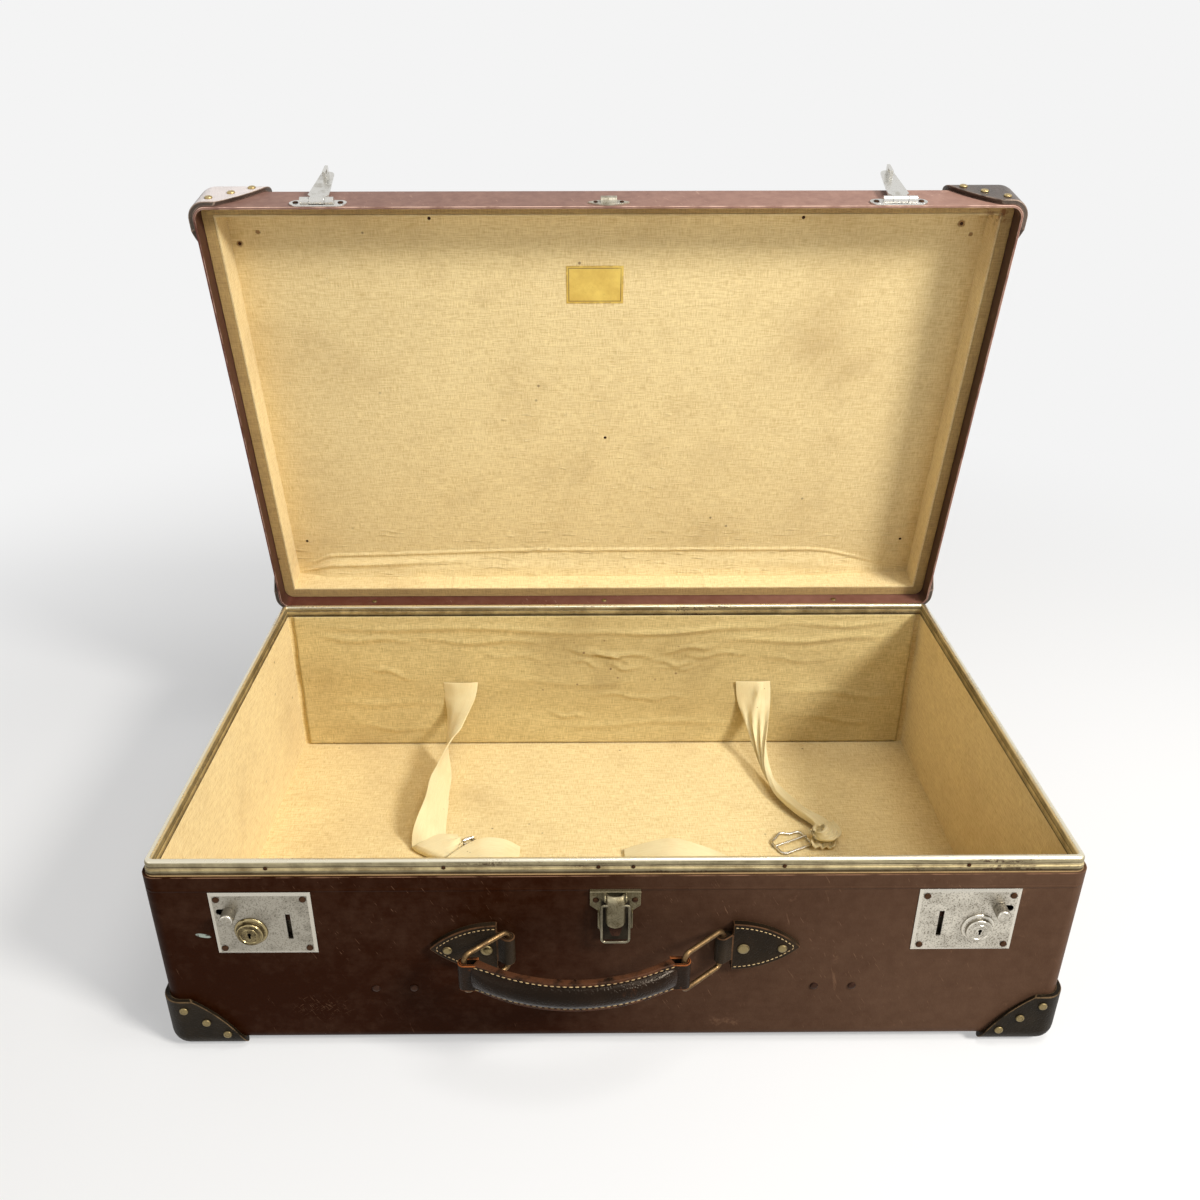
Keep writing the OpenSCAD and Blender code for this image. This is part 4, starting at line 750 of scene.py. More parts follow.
def catch_tongue():
    """The lever: a pressed hood, crowned across and square below with round corners."""
    shape, wear_and_shade = new_shape()
    layers, columns, rows = [], 16, 30
    for inset in (0.0, 1.0):
        grid = []
        for j in range(rows + 1):
            v = 1 - (1 - j / rows) ** 1.4
            z = 147.0 - 27.0 * v
            corner = max(0.0, 4 - (z - 120.0)) / 4
            half = 2.9 + 4.0 * math.sqrt(max(0.0, 1 - corner * corner)) - inset * 0.8
            roll = 2.6 * max(0.0, 1 - v / 0.12) ** 2
            row = []
            for i in range(columns + 1):
                u = 2 * i / columns - 1
                crown = 2.3 * (1 - abs(u) ** 2.6) * (1 - 0.5 * v)
                y = -211.6 - crown + roll + inset + 1.8 * max(0.0, abs(u) - 0.87) / 0.13
                row.append(shape.verts.new(Vector((u * half, y, z)) * MM))
            grid.append(row)
        layers.append(grid)
    front, back = layers
    for j in range(rows):
        for i in range(columns):
            shape.faces.new((front[j][i], front[j][i + 1], front[j + 1][i + 1], front[j + 1][i]))
            shape.faces.new((back[j][i], back[j + 1][i], back[j + 1][i + 1], back[j][i + 1]))
    ring = [(j, 0) for j in range(rows)] + [(rows, i) for i in range(columns)]
    ring += [(j, columns) for j in range(rows, 0, -1)] + [(0, i) for i in range(columns, 0, -1)]
    for (a, b), (c, d) in zip(ring, ring[1:] + ring[:1]):
        made = shape.faces.new((front[a][b], front[c][d], back[c][d], back[a][b]))
        made[wear_and_shade] = 1.0
    bmesh.ops.recalc_face_normals(shape, faces=shape.faces)
    return show(
        "catch_tongue", shape, CATCH_STEEL, "lever", "catch_steel", "catch_lever", sharp=50, weigh=False)


catch_tongue()


def thumb_lip():
    """The lever's end below the hood, bent forwards for the thumb."""
    (shape, _), grid, steps = new_shape(), [], 8
    across = (-1, -0.5, 0, 0.5, 1)
    outline = [(u, 1.0) for u in across] + [(u, 0.0) for u in reversed(across)]
    for j in range(steps + 1):
        v = j / steps
        half = 4.6 * math.sqrt(1 - 0.75 * v * v)
        bend = 2.4 * v * v
        grid.append([shape.verts.new(Vector((half * u, -211.0 - bend - side, 121.0 - 6.4 * v)) * MM)
                     for u, side in outline])
    for high, low in zip(grid, grid[1:]):
        for k in range(len(outline)):
            j = (k + 1) % len(outline)
            shape.faces.new((high[k], low[k], low[j], high[j]))
    shape.faces.new(grid[0])
    shape.faces.new(list(reversed(grid[-1])))
    bmesh.ops.recalc_face_normals(shape, faces=shape.faces)
    return show("catch_lip", shape, DARK_RIVET, "lever", "catch_steel", sharp=50)


thumb_lip()
print("corners, hinges and catch dressed")

# %% [markdown]
# ## Turned and bent metal
# Key cylinders and studs are turned on a lathe and the handle's loops are bent wire, so both have to
# be truly round. A turned piece is a profile of radius and height spun about an axis that points out
# of the front wall. A bent wire is a ring of circles carried along a closed path.


# %% Lathe and wire
def spun(profile, at, sides=48):
    """A solid of revolution about -Y; profile is a list of (radius, distance out) in millimetres."""
    shape, wear_and_shade = new_shape()
    rings = [[shape.verts.new(Vector((at[0] + radius * c, at[1] - out, at[2] + radius * s)) * MM)
              for c, s in circle(sides)] for radius, out in profile]
    join_rings(shape, rings)
    shape.faces.new(list(reversed(rings[0])))
    shape.faces.new(rings[-1])
    bmesh.ops.recalc_face_normals(shape, faces=shape.faces)
    # Sloped faces count as rubbed edges; the turned sides get painted shade.
    for face in shape.faces:
        slope = abs(face.normal.y)
        face[wear_and_shade] = 1.0 if 0.3 < slope < 0.9 else (-0.6 if slope < 0.2 else 0.0)
    return shape


def bent_wire(path, radius, sides=16):
    """A round wire along a closed path of points in millimetres."""
    (shape, _), rings = new_shape(), []
    flat = (path[len(path) // 3] - path[0]).cross(path[2 * len(path) // 3] - path[0]).normalized()
    for i, here in enumerate(path):
        ahead = (path[(i + 1) % len(path)] - path[i - 1]).normalized()
        out = ahead.cross(flat)
        rings.append([shape.verts.new((here + out * radius * c + flat * radius * s) * MM)
                      for c, s in circle(sides)])
    join_rings(shape, rings, closed=True)
    bmesh.ops.recalc_face_normals(shape, faces=shape.faces)
    return shape


def round_frame(width, height, bend, steps=10):
    """A rectangle with round corners, as (across, up) from the middle of its left side."""
    path = []
    for cx, cy, start in ((width - bend, height / 2 - bend, 0), (bend, height / 2 - bend, 90),
                          (bend, bend - height / 2, 180), (width - bend, bend - height / 2, 270)):
        for k in range(steps + 1):
            angle = math.radians(start + 90 * k / steps)
            path.append((cx + bend * math.cos(angle), cy + bend * math.sin(angle)))
    return path


LOOP_LEN, LOOP_HIGH, LOOP_BEND = 38.0, 34, 5
print(len(round_frame(LOOP_LEN, LOOP_HIGH, LOOP_BEND)), "points round a loop")


# %% Lock plates
def everything(shape):
    return list(shape.verts) + list(shape.edges) + list(shape.faces)


def slope_border(shape):
    """Presses the border of a plate back, so that its front has a flat field with a sloping edge."""
    low = Vector([min(v.co[k] for v in shape.verts) for k in range(3)])
    high = Vector([max(v.co[k] for v in shape.verts) for k in range(3)])
    border, back = 2.3 * MM, 0.85 * MM
    wear_and_shade = shape.faces.layers.float.new("wear_and_shade")
    for axis, edge, sign in ((0, low, 1), (0, high, -1), (2, low, 1), (2, high, -1)):
        at, normal = Vector(edge), Vector((0, 0, 0))
        at[axis] += sign * border
        normal[axis] = 1
        bmesh.ops.bisect_plane(shape, geom=everything(shape), dist=1e-6, plane_co=at, plane_no=normal)
    for vert in shape.verts:
        rim = min(vert.co.x - low.x, high.x - vert.co.x, vert.co.z - low.z, high.z - vert.co.z)
        if vert.co.y < low.y + 1e-5 and rim < border / 2:
            vert.co.y += back
    for face in shape.faces:
        face.normal_update()
        face[wear_and_shade] = 1.0 if -0.99 < face.normal.y < -0.5 else 0.0


def without_stud(shape):
    """Keeps only the flat bar of a bolt, behind its plate."""
    cut = bmesh.ops.bisect_plane(
        shape, geom=everything(shape), dist=1e-6, plane_co=(0, -204.6 * MM, 0), plane_no=(0, -1, 0),
        clear_outer=True)
    rim = [e for e in cut["geom_cut"] if isinstance(e, bmesh.types.BMEdge)]
    bmesh.ops.holes_fill(shape, edges=rim)


LOCK_X, LOCK_Z, PLATE_FRONT, PLUG_R = 250.5, 119.0, -205.25, 3.5
NOSE = [
    (6.4, -1.1), (12, -0.9), (12, 0.5), (11.6, 1.1), (10.6, 1.7), (9.7, 1.9), (9.6, 2.2), (9.6, 4.0),
    (9.35, 4.6), (8.8, 4.9), (8.2, 5.0), (7.0, 5.0), (6.7, 4.6), (5.5, 4.55), (5.2, 4.95), (4.4, 5.0),
    (3.62, 5.0), (3.55, 2.0)]
KNOB = [
    (2.5, -1.6), (2.5, 0.25), (4.5, 0.3), (4.8, 0.6), (4.8, 8.2), (4.55, 9.1), (3.9, 9.7), (2.6, 10.0),
    (1.2, 10.15), (0.4, 10.2)]


def keyed_plug(at, front):
    """A round plug with a keyhole sunk into its face."""
    shape, wear_and_shade = new_shape()
    arc = [math.radians(angle) for angle in range(-55, 236, 15)]
    hole = [(1.4 * math.cos(a), 0.9 + 1.4 * math.sin(a)) for a in arc] + [(-0.75, -2.7), (0.75, -2.7)]
    disc = [(PLUG_R * c, PLUG_R * s) for c, s in circle(40)]

    def ring(points, depth):
        return [shape.verts.new(Vector((at[0] + x, front + depth, at[1] + z)) * MM) for x, z in points]

    edges = []
    for points, depth in ((disc, 4.0), (hole, 2.4)):
        face, back = ring(points, 0.0), ring(points, depth)
        for k in range(len(points)):
            j = (k + 1) % len(points)
            wall = shape.faces.new((face[k], face[j], back[j], back[k]))
            # Painted shade: the keyhole's walls and floor are marked near black, and the plug's side
            # darker.
            wall[wear_and_shade] = -2.0 if points is hole else -0.6
            edges.append(shape.edges.get((face[k], face[j])))
        shape.faces.new(back)[wear_and_shade] = -2.0
    bmesh.ops.triangle_fill(shape, use_beauty=True, use_dissolve=False, edges=edges)
    bmesh.ops.recalc_face_normals(shape, faces=shape.faces)
    return shape


for side, sign in SIDES:
    plate, barrel = (SATIN_NICKEL, LOCK_BRASS) if side == "left" else (NICKEL, NICKEL)
    nose_x, nose_z, stud_x = sign * (LOCK_X + 9.5), LOCK_Z - 6.5, sign * (LOCK_X + 22.5)
    dress(f"lock_plate_{side}", plate, "base", "lock_nickel", 0.2, 14, reshape=slope_border)
    dress(f"lock_case_{side}", HINGE_STEEL, "base", "lock_nickel", 0.15)
    show(f"lock_nose_{side}", spun(NOSE, (nose_x, PLATE_FRONT, nose_z)), barrel, "base", "lock_brass",
         f"lock_cylinder_{side}", sharp=50)
    show(f"lock_key_{side}", keyed_plug((nose_x, nose_z), PLATE_FRONT - 5.1), barrel, f"{side}_plug",
         "lock_brass", f"lock_plug_{side}")
    dress(f"lock_bolt_{side}", DARK_RIVET, f"{side}_bolt", "lock_nickel", 0, reshape=without_stud)
    show(f"lock_stud_{side}", spun(KNOB, (stud_x, PLATE_FRONT, LOCK_Z + 11)), plate, f"{side}_bolt",
         "lock_nickel", sharp=50)
print("locks dressed")

# %% Hasps
for side, _ in SIDES:
    dress(f"hasp_plate_{side}", LID_NICKEL, "lid", "hasp_nickel", 0.25)
    dress(f"hasp_{side}", LID_NICKEL, f"{side}_hasp", "hasp_nickel", 0.35)
dress("hasp_pins", LID_NICKEL, "lid", "hasp_nickel", 0.2)
print("hasps dressed")

# %% Handle loops and buckles
HANDLE_Z, HANDLE_HALF = 98.0, 76.5
LOOP_Y, LOOP_TURN, WIRE_R = -208.95, math.radians(40), 2
for side, sign in SIDES:
    path = []
    for across, up in round_frame(LOOP_LEN, LOOP_HIGH, LOOP_BEND):
        path.append(Vector((sign * HANDLE_HALF - across * math.cos(LOOP_TURN),
                            LOOP_Y - across * math.sin(LOOP_TURN), HANDLE_Z + up)))
    show(f"handle_loop_{side}_wire", bent_wire(path, WIRE_R), LOOP_BRASS, f"{side}_loop", "loop_brass",
         f"handle_loop_{side}")


def kink(shape):
    """The far wire of the buckle is bent: its middle bows outwards and up."""
    middle = sum((v.co for v in shape.verts), Vector()) / len(shape.verts)
    back = Matrix.Rotation(math.radians(-26), 3, "Z")
    sharp = [e for e in shape.edges if abs((back @ (e.verts[0].co - e.verts[1].co)).x) > 5 * MM]
    bmesh.ops.subdivide_edges(shape, edges=sharp, cuts=10)
    for vert in shape.verts:
        at = back @ (vert.co - middle)
        if at.y > 8 * MM:
            bend = math.exp(-(((at.x + 3 * MM) / (6 * MM)) ** 2))
            vert.co += back.transposed() @ Vector((0, 4 * MM, 1.5 * MM)) * bend


dress("strap_buckle_right", BUCKLE_STEEL, "base", "buckle_steel", 0, 60, reshape=kink)
dress("strap_ring_left", BUCKLE_STEEL, "base", "buckle_steel", 0.2, 60)
for side, _ in SIDES:
    dress(f"chape_{side}", CHAPE_LEATHER, "base", "handle_leather", 0.9, 35, 3)
print("handle loops, buckles and chapes dressed")

# %% [markdown]
# ## Rivets by Geometry Nodes
# The case has more than sixty rivets of a few kinds. Each solid rivet already says where its head
# sits, which way it faces and how wide it is, so those are read off as points. A node tree then
# stands one turned head on every point, scaled to its size and spun by a seeded angle so that no two
# look alike.


# %% A turned head and the places for it
def turned(name, profile, sides=20):
    """A head of revolution, one unit in radius and height, standing on its foot."""
    shape, wear_and_shade = new_shape()
    rings = [[shape.verts.new((r * c, r * s, h)) for c, s in circle(sides)] for r, h in profile[:-1]]
    tip = shape.verts.new((0, 0, profile[-1][1]))
    join_rings(shape, rings)
    for k in range(sides):
        shape.faces.new((rings[-1][k], rings[-1][(k + 1) % sides], tip))
    shape.faces.new(list(reversed(rings[0])))
    for face in shape.faces:
        face[wear_and_shade] = 1.0 if face.calc_center_median().z > 0.75 else 0.0
    mesh = bpy.data.meshes.new(name)
    shape.to_mesh(mesh)
    shape.free()
    mesh.shade_smooth()
    return bpy.data.objects.new(name, mesh)


RINGED_HEAD = turned("ringed_head", [
    (1, 0), (1, 0.3), (0.97, 0.52), (0.88, 0.72), (0.74, 0.84), (0.6, 0.86), (0.53, 0.74), (0.46, 0.72),
    (0.4, 0.8), (0.24, 0.95), (0, 1)])
DOMED_HEAD = turned("domed_head", [
    (1, 0), (1, 0.22), (0.94, 0.45), (0.78, 0.7), (0.52, 0.9), (0.26, 0.98), (0, 1)])
FLAT_HEAD = turned("flat_head", [
    (1, 0), (1, 0.35), (0.93, 0.62), (0.78, 0.78), (0.5, 0.84), (0.2, 0.8), (0, 0.78)])


def rivet_seats(node):
    """Foot centre, direction, radius and height of every solid rivet in a node, in order of place."""
    shape, seats = solid_copy(node), []
    left = set(shape.verts)
    while left:
        island, todo = set(), [left.pop()]
        while todo:
            vert = todo.pop()
            island.add(vert)
            fresh = [e.other_vert(vert) for e in vert.link_edges if e.other_vert(vert) in left]
            left.difference_update(fresh)
            todo.extend(fresh)
        faces = {f for v in island for f in v.link_faces}
        foot = max(faces, key=lambda f: f.calc_area())
        centre = sum((v.co for v in foot.verts), Vector()) / len(foot.verts)
        radius = max((v.co - centre).length for v in foot.verts)
        height = max((v.co - centre).dot(-foot.normal) for v in island)
        seats.append((centre, -foot.normal.copy(), radius, height))
    shape.free()
    return sorted(seats, key=lambda seat: seat[0][:])


print(len(rivet_seats("base_cap_rivets")), "rivets on the base's corners")


# %% The rivet tree
FULL_TURN = 6.28


def named(tree, name, kind="FLOAT"):
    """A value that the points carry."""
    return add(tree, "GeometryNodeInputNamedAttribute", {"data_type": kind}, {"Name": name})[0]


def new_tree(name, inputs):
    tree = bpy.data.node_groups.new(name, "GeometryNodeTree")
    for label, kind in [("Geometry", "Geometry"), *inputs, ("Finish", "Material")]:
        tree.interface.new_socket(label, in_out="INPUT", socket_type="NodeSocket" + kind)
    tree.interface.new_socket("Geometry", in_out="OUTPUT", socket_type="NodeSocketGeometry")
    return tree, tree.nodes.new("NodeGroupInput").outputs


def close_tree(tree, placed, given):
    real = add(tree, "GeometryNodeRealizeInstances", None, {0: placed})[0]
    smooth = add(tree, "GeometryNodeSetShadeSmooth", None, {"Geometry": real})[0]
    links = {"Geometry": smooth, "Material": given["Finish"]}
    done = add(tree, "GeometryNodeSetMaterial", None, links)[0]
    tree.links.new(done, tree.nodes.new("NodeGroupOutput").inputs[0])
    return tree


def rivet_tree():
    tree, given = new_tree("rivets", [("Head", "Object"), ("Seed", "Int")])
    facing, size, tall = named(tree, "facing", "FLOAT_VECTOR"), named(tree, "size"), named(tree, "tall")
    stand = add(tree, "FunctionNodeAlignRotationToVector", {"axis": "Z"}, {"Vector": facing})[0]
    angles = {2: 0.0, 3: FULL_TURN, 8: given["Seed"]}
    spin = add(tree, "FunctionNodeRandomValue", {"data_type": "FLOAT"}, angles)[1]
    about = add(tree, "FunctionNodeAxisAngleToRotation", None, {"Axis": (0, 0, 1), "Angle": spin})[0]
    turn = add(tree, "FunctionNodeRotateRotation", {"rotation_space": "LOCAL"}, {0: stand, 1: about})[0]
    scale = add(tree, "ShaderNodeCombineXYZ", None, {0: size, 1: size, 2: tall})[0]
    head = add(tree, "GeometryNodeObjectInfo", None, {"Object": given["Head"]})["Geometry"]
    links = {"Points": given["Geometry"], "Instance": head, "Rotation": turn, "Scale": scale}
    return close_tree(tree, add(tree, "GeometryNodeInstanceOnPoints", None, links)[0], given)


RIVETS = rivet_tree()
print("rivet tree with", len(RIVETS.nodes), "nodes")


# %% Grow a tree into a plain mesh
def grow(name, base_mesh, tree, values, body, slot, *nodes):
    carrier = bpy.data.objects.new(name + "_points", base_mesh)
    bpy.context.scene.collection.objects.link(carrier)
    modifier = carrier.modifiers.new("tree", "NODES")
    modifier.node_group = tree
    for item in tree.interface.items_tree:
        if item.in_out == "INPUT" and item.name in values:
            modifier[item.identifier] = values[item.name]
    ready = carrier.evaluated_get(bpy.context.evaluated_depsgraph_get())
    mesh = bpy.data.meshes.new_from_object(ready)
    mesh.name = name
    bpy.data.objects.remove(carrier)
    return mount(name, mesh, body, nodes)


def rivet_row(node, head, finish, body, slot, seed, seats=None, name=None):
    seats = seats or rivet_seats(node)
    points = bpy.data.meshes.new((name or node) + "_seats")
    points.from_pydata([s[0] for s in seats], [], [])
    for label, kind, key, values in (
        ("facing", "FLOAT_VECTOR", "vector", [c for s in seats for c in s[1]]),
        ("size", "FLOAT", "value", [s[2] for s in seats]),
        ("tall", "FLOAT", "value", [s[3] for s in seats]),
    ):
        points.attributes.new(label, kind, "POINT").data.foreach_set(key, values)
    values = {"Head": head, "Seed": seed, "Finish": finish}
    return grow((name or node) + "_heads", points, RIVETS, values, body, slot, *([node] if node else []))


ROWS = (  # node, head, finish, body, slot
    ("base_cap_rivets", RINGED_HEAD, RIVET_BRASS, "base", "rivet_brass"),
    ("lid_cap_rivets", RINGED_HEAD, LID_RIVET_BRASS, "lid", "rivet_brass"),
    ("hinge_base_rivets", DOMED_HEAD, HINGE_STEEL, "base", "hinge_steel"),
    ("hinge_lid_rivets", DOMED_HEAD, RIVET_BRASS, "lid", "hinge_steel"),
    ("lock_rivets", FLAT_HEAD, RUST_RIVET, "base", "rust_rivet"),
    ("hasp_rivets", DOMED_HEAD, RUST_RIVET, "lid", "rust_rivet"),
    ("catch_rivets", DOMED_HEAD, RUST_RIVET, "base", "rust_rivet"),
    ("keeper_rivets", DOMED_HEAD, RUST_RIVET, "lid", "rust_rivet"),
    ("chape_rivets", DOMED_HEAD, RIVET_BRASS, "base", "rivet_brass"),
    ("strap_rivets", DOMED_HEAD, DARK_RIVET, "base", "rust_rivet"),
)
for number, row in enumerate(ROWS):
    rivet_row(*row, seed=3 + 2 * number)
print(len(ROWS), "rows of rivets")

# %% Nails in the rim and tacks in the lid
NAIL_Z, PANEL_Z = 165.5, 203.9
NAIL_PLACES = (-244, -120, -12, 12.4, 118, 247)
TACK_PLACES = (
    (0, 30), (-313, -159), (299.3, -174.5), (-306, 150), (306, 150), (-150, -180), (165, -180))
rim_front = min(v.co.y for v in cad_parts["rim_channel"].data.vertices)
nails = [(Vector((x * MM, rim_front + 0.1 * MM, NAIL_Z * MM)), Vector((0, -1, 0)), 1.5 * MM, 0.5 * MM)
         for x in NAIL_PLACES]
rivet_row(None, DOMED_HEAD, RUST_RIVET, "base", "rust_rivet", 23, nails, "rim_nails")
out = LID_BACK.transposed() @ Vector((0, 0, -1))
tacks = [(opened(Vector((x, y, PANEL_Z + 0.1))), out, 1.4 * MM, 0.6 * MM) for x, y in TACK_PLACES]
rivet_row(None, DOMED_HEAD, DARK_RIVET, "lid", "rust_rivet", 25, tacks, "lining_tacks")
print(len(nails), "nails and", len(tacks), "tacks")

# %% [markdown]
# ## Cloth on the rear wall
# The lining of the rear wall has come loose from its card. It hangs from under the rim in long,
# shallow waves, with folds and short creases, most of them across its upper half. A fine grid follows
# the same waves as the solid, and every crease is a narrow ridge added on top. The grid is then
# thickened to cloth.

# %% Rear cloth
WALL_Y, FLOOR = 195.45, 5.02
CLOTH_HALF, CLOTH_LOW, CLOTH_TOP, CLOTH_T = 318.45, 6.52, 160.5, 0.8


def sin_deg(angle):
    return math.sin(math.radians(angle))


def cloth_out(u, v):
    """How far the loose cloth stands off the wall, in millimetres, as in its solid."""
    sway = 0.55 * sin_deg(360 * (1.9 * v + 0.8 * u)) * sin_deg(180 * v)
    sway += 0.45 * sin_deg(360 * (0.7 * v - 2.3 * u) + 40) * sin_deg(180 * v) * (0.4 + 0.6 * u)
    return 0.5 + 1.6 * (1 + sway)


# Left end, right end, height at each end, height of the ridge and half its width, in millimetres.
CREASES = [
    (-305, 10, 150, 142, 2.1, 4.4), (-30, 200, 140, 147, 2.3, 4.0), (150, 312, 149, 151, 2.1, 3.8),
    (-200, -60, 134, 129, 1.4, 4.0), (120, 300, 131, 134, 1.7, 4.2), (-300, -190, 137, 131, 1.3, 4.0),
    (-42, 28, 123, 108, 1.9, 3.4), (-24, 54, 119, 111, 2.1, 3.2), (0, 38, 104, 96, 1.6, 2.8),
    (-34, -4, 111, 101, 1.5, 2.8), (50, 98, 106, 103, 1.9, 3.0), (60, 116, 119, 126, 1.8, 3.2),
    (56, 104, 97, 101, 1.3, 3.0), (84, 150, 113, 117, 1.5, 3.2), (-248, -200, 104, 88, 1.5, 3.6),
    (-130, -60, 116, 110, 0.8, 4.0), (150, 240, 112, 106, 0.9, 4.2), (-62, -18, 44, 38, 1.3, 3.2),
    (-14, 60, 68, 64, 1.2, 3.2), (40, 90, 61, 66, 1.0, 3.2), (-120, 40, 84, 80, 0.7, 5.0),
    (180, 310, 72, 64, 0.9, 4.6), (-300, -150, 60, 54, 0.7, 5.0), (-60, 160, 28, 33, 0.9, 4.4),
    (200, 300, 40, 30, 0.9, 4.2), (-270, -180, 30, 22, 0.9, 4.2),
]


def crease(x, z):
    total = 0.0
    for left, right, low, high, amount, half in CREASES:
        s = (x - left) / (right - left)
        if 0 < s < 1:
            line = low + (high - low) * s + 2.2 * math.sin(9 * s + left)
            ridge = math.exp(-(((z - line) / (0.8 * half)) ** 2))
            trough = math.exp(-(((z - line + half) / half) ** 2))
            total += 1.15 * amount * math.sin(math.pi * s) ** 0.8 * (ridge - 0.2 * trough)
    return total


def rear_cloth():
    columns, rows = 240, 84
    (shape, _), grid = new_shape(), []
    for j in range(rows + 1):
        v = j / rows
        z = CLOTH_LOW + (CLOTH_TOP - CLOTH_LOW) * v
        grid.append([])
        for i in range(columns + 1):
            u = i / columns
            x = CLOTH_HALF * (2 * u - 1)
            ripple = 0.35 * noise.fractal(Vector((x * 0.02, z * 0.05, 3.1)), 1, 2, 4)
            held = min(1.0, 8 * (1 - v), 10 * v + 0.2)
            out = cloth_out(u, v) + (crease(x, z) + max(ripple, -0.3)) * held
            grid[-1].append(shape.verts.new((x * MM, (WALL_Y - out - 0.4) * MM, z * MM)))
    for low, high in zip(grid, grid[1:]):
        for i in range(columns):
            shape.faces.new((low[i], low[i + 1], high[i + 1], high[i]))
    piece = show(
        "rear_wall_cloth_piece", shape, CLOTH_LINEN, "base", "lining", "rear_wall_cloth", weigh=False)
    thick = piece.modifiers.new("cloth_thickness", "SOLIDIFY")
    thick.thickness, thick.offset = 0.7 * MM, -1.0
    return piece


rear = rear_cloth()
print("rear cloth of", len(rear.data.polygons), "faces")

# %% [markdown]
# ## Cotton straps
# Four cotton tapes hold the luggage. Each is a flat strip that twists and folds, so it is swept as
# rings along a smooth path: every path point gives a place, the direction across the tape and how
# wide it lies. Where it lies narrower than its true width it is gathered, and the spare width goes
# into pleats.

# %% Sweep a tape
STRAP_W, STRAP_T, TAPE_STEPS = 36.0, 1.4, 12
LOWEST, HIGH, FRONT_IN = FLOOR + 0.25, FLOOR + 78, -WALL_Y


def cloth_front(x, z):
    u, v = (x / CLOTH_HALF + 1) / 2, (z - CLOTH_LOW) / (CLOTH_TOP - CLOTH_LOW)
    return WALL_Y - CLOTH_T - cloth_out(u, v)


def strap_seat(x):
    """Where a strap starts, clear of the cloth behind its whole width."""
    edges = (-STRAP_W / 2, 0, STRAP_W / 2)
    return min(cloth_front(x + dx, HIGH - dz) for dx in edges for dz in (0, 10, 20)) - 1.1


def lying(rise):
    """Height of a strap's middle where it lies on the floor, from flat at 0 to on edge at 1."""
    return FLOOR + STRAP_T + STRAP_W / 2 * rise


def smooth_path(points, steps):
    path, last = [], len(points) - 1
    for i in range(last):
        a, b, c, d = (points[max(0, min(last, i + k))] for k in (-1, 0, 1, 2))
        for k in range(steps):
            f = k / steps
            path.append([0.5 * (2 * q + (r - p) * f + (2 * p - 5 * q + 4 * r - s) * f * f
                                + (3 * q - p - 3 * r + s) * f ** 3) for p, q, r, s in zip(a, b, c, d)])
    return path + [list(points[-1])]


def tape(name, route, *nodes, width=STRAP_W, pleats=2.5, cup=0.8, dent=None):
    """A flat tape along a route of (x, y, z, the direction across it, its share of the full width)."""
    path = smooth_path(route, TAPE_STEPS)
    (shape, _), columns = new_shape(), 16
    uv = shape.loops.layers.uv.new("tape")
    rings, travel, before = [], 0.0, None
    for i, (x, y, z, sx, sy, sz, f) in enumerate(path):
        here = Vector((x, y, z))
        side = Vector((sx, sy, sz)).normalized()
        ahead = Vector(path[min(i + 1, len(path) - 1)][:3]) - Vector(path[max(i - 1, 0)][:3])
        face = side.cross(ahead).normalized()
        travel += 0 if before is None else (here - before).length
        before = here
        gather = max(0.0, 1 - f)
        ring = []
        for layer in (1, -1):
            for j in range(columns + 1):
                a = 2 * j / columns - 1
                fold = width * 0.13 * gather * math.sin(math.pi * pleats * a + 0.02 * travel)
                curl = cup * (a * a - 0.4) + 0.5 * abs(a) ** 3 * math.sin(0.11 * travel + 2 * a)
                soft = 0.3 * noise.noise(Vector((a * 2, travel * 0.06, z * 0.01)))
                soft += dent(a, i / (len(path) - 1)) if dent else 0.0
                thick = STRAP_T / 2 * (1 - 0.35 * max(0, abs(a) - 0.9) / 0.1)
                at = here + side * (a * width * f / 2) + face * (fold + curl + soft + layer * thick)
                at.z = max(at.z, LOWEST + (STRAP_T if layer * face.z > 0 else 0))
                ring.append((shape.verts.new(at * MM), a * width / 2 * MM, travel * MM))
        rings.append(ring[: columns + 1] + ring[columns + 1:][::-1])

    def quad(*corners):
        made = shape.faces.new([c[0] for c in corners])
        for loop, corner in zip(made.loops, corners):
            loop[uv].uv = (corner[1], corner[2])

    around = len(rings[0])
    for first, second in zip(rings, rings[1:]):
        for k in range(around):
            j = (k + 1) % around
            quad(first[k], second[k], second[j], first[j])
    for ring, turn in ((rings[0], 1), (rings[-1], -1)):
        for k in range(columns):
            quad(*[ring[k], ring[k + 1], ring[around - 2 - k], ring[around - 1 - k]][::turn])
    bmesh.ops.recalc_face_normals(shape, faces=shape.faces)
    return show(name, shape, COTTON, "base", "strap_cotton", *nodes, sharp=55, weigh=False)


LEFT_Y, RIGHT_Y = strap_seat(-151), strap_seat(157)
print("straps leave the rear wall at y", round(LEFT_Y, 1), "and", round(RIGHT_Y, 1))


# %% Rear straps
def rolled_edge(a, t):
    """The left tape's right edge rolls forward as it leaves the wall."""
    return -3.2 * max(0.0, a - 0.35) ** 1.5 * max(0.0, 1 - abs(t - 0.1) / 0.1)


def long_crease(a, t):
    """The right tape is creased lengthwise, and the crease wanders to the left on its way down."""
    middle = 0.45 - 3.0 * t
    return -5.0 * math.exp(-(((a - middle) / 0.2) ** 2)) * min(1.0, t / 0.05) * max(0.0, 1 - t / 0.34)


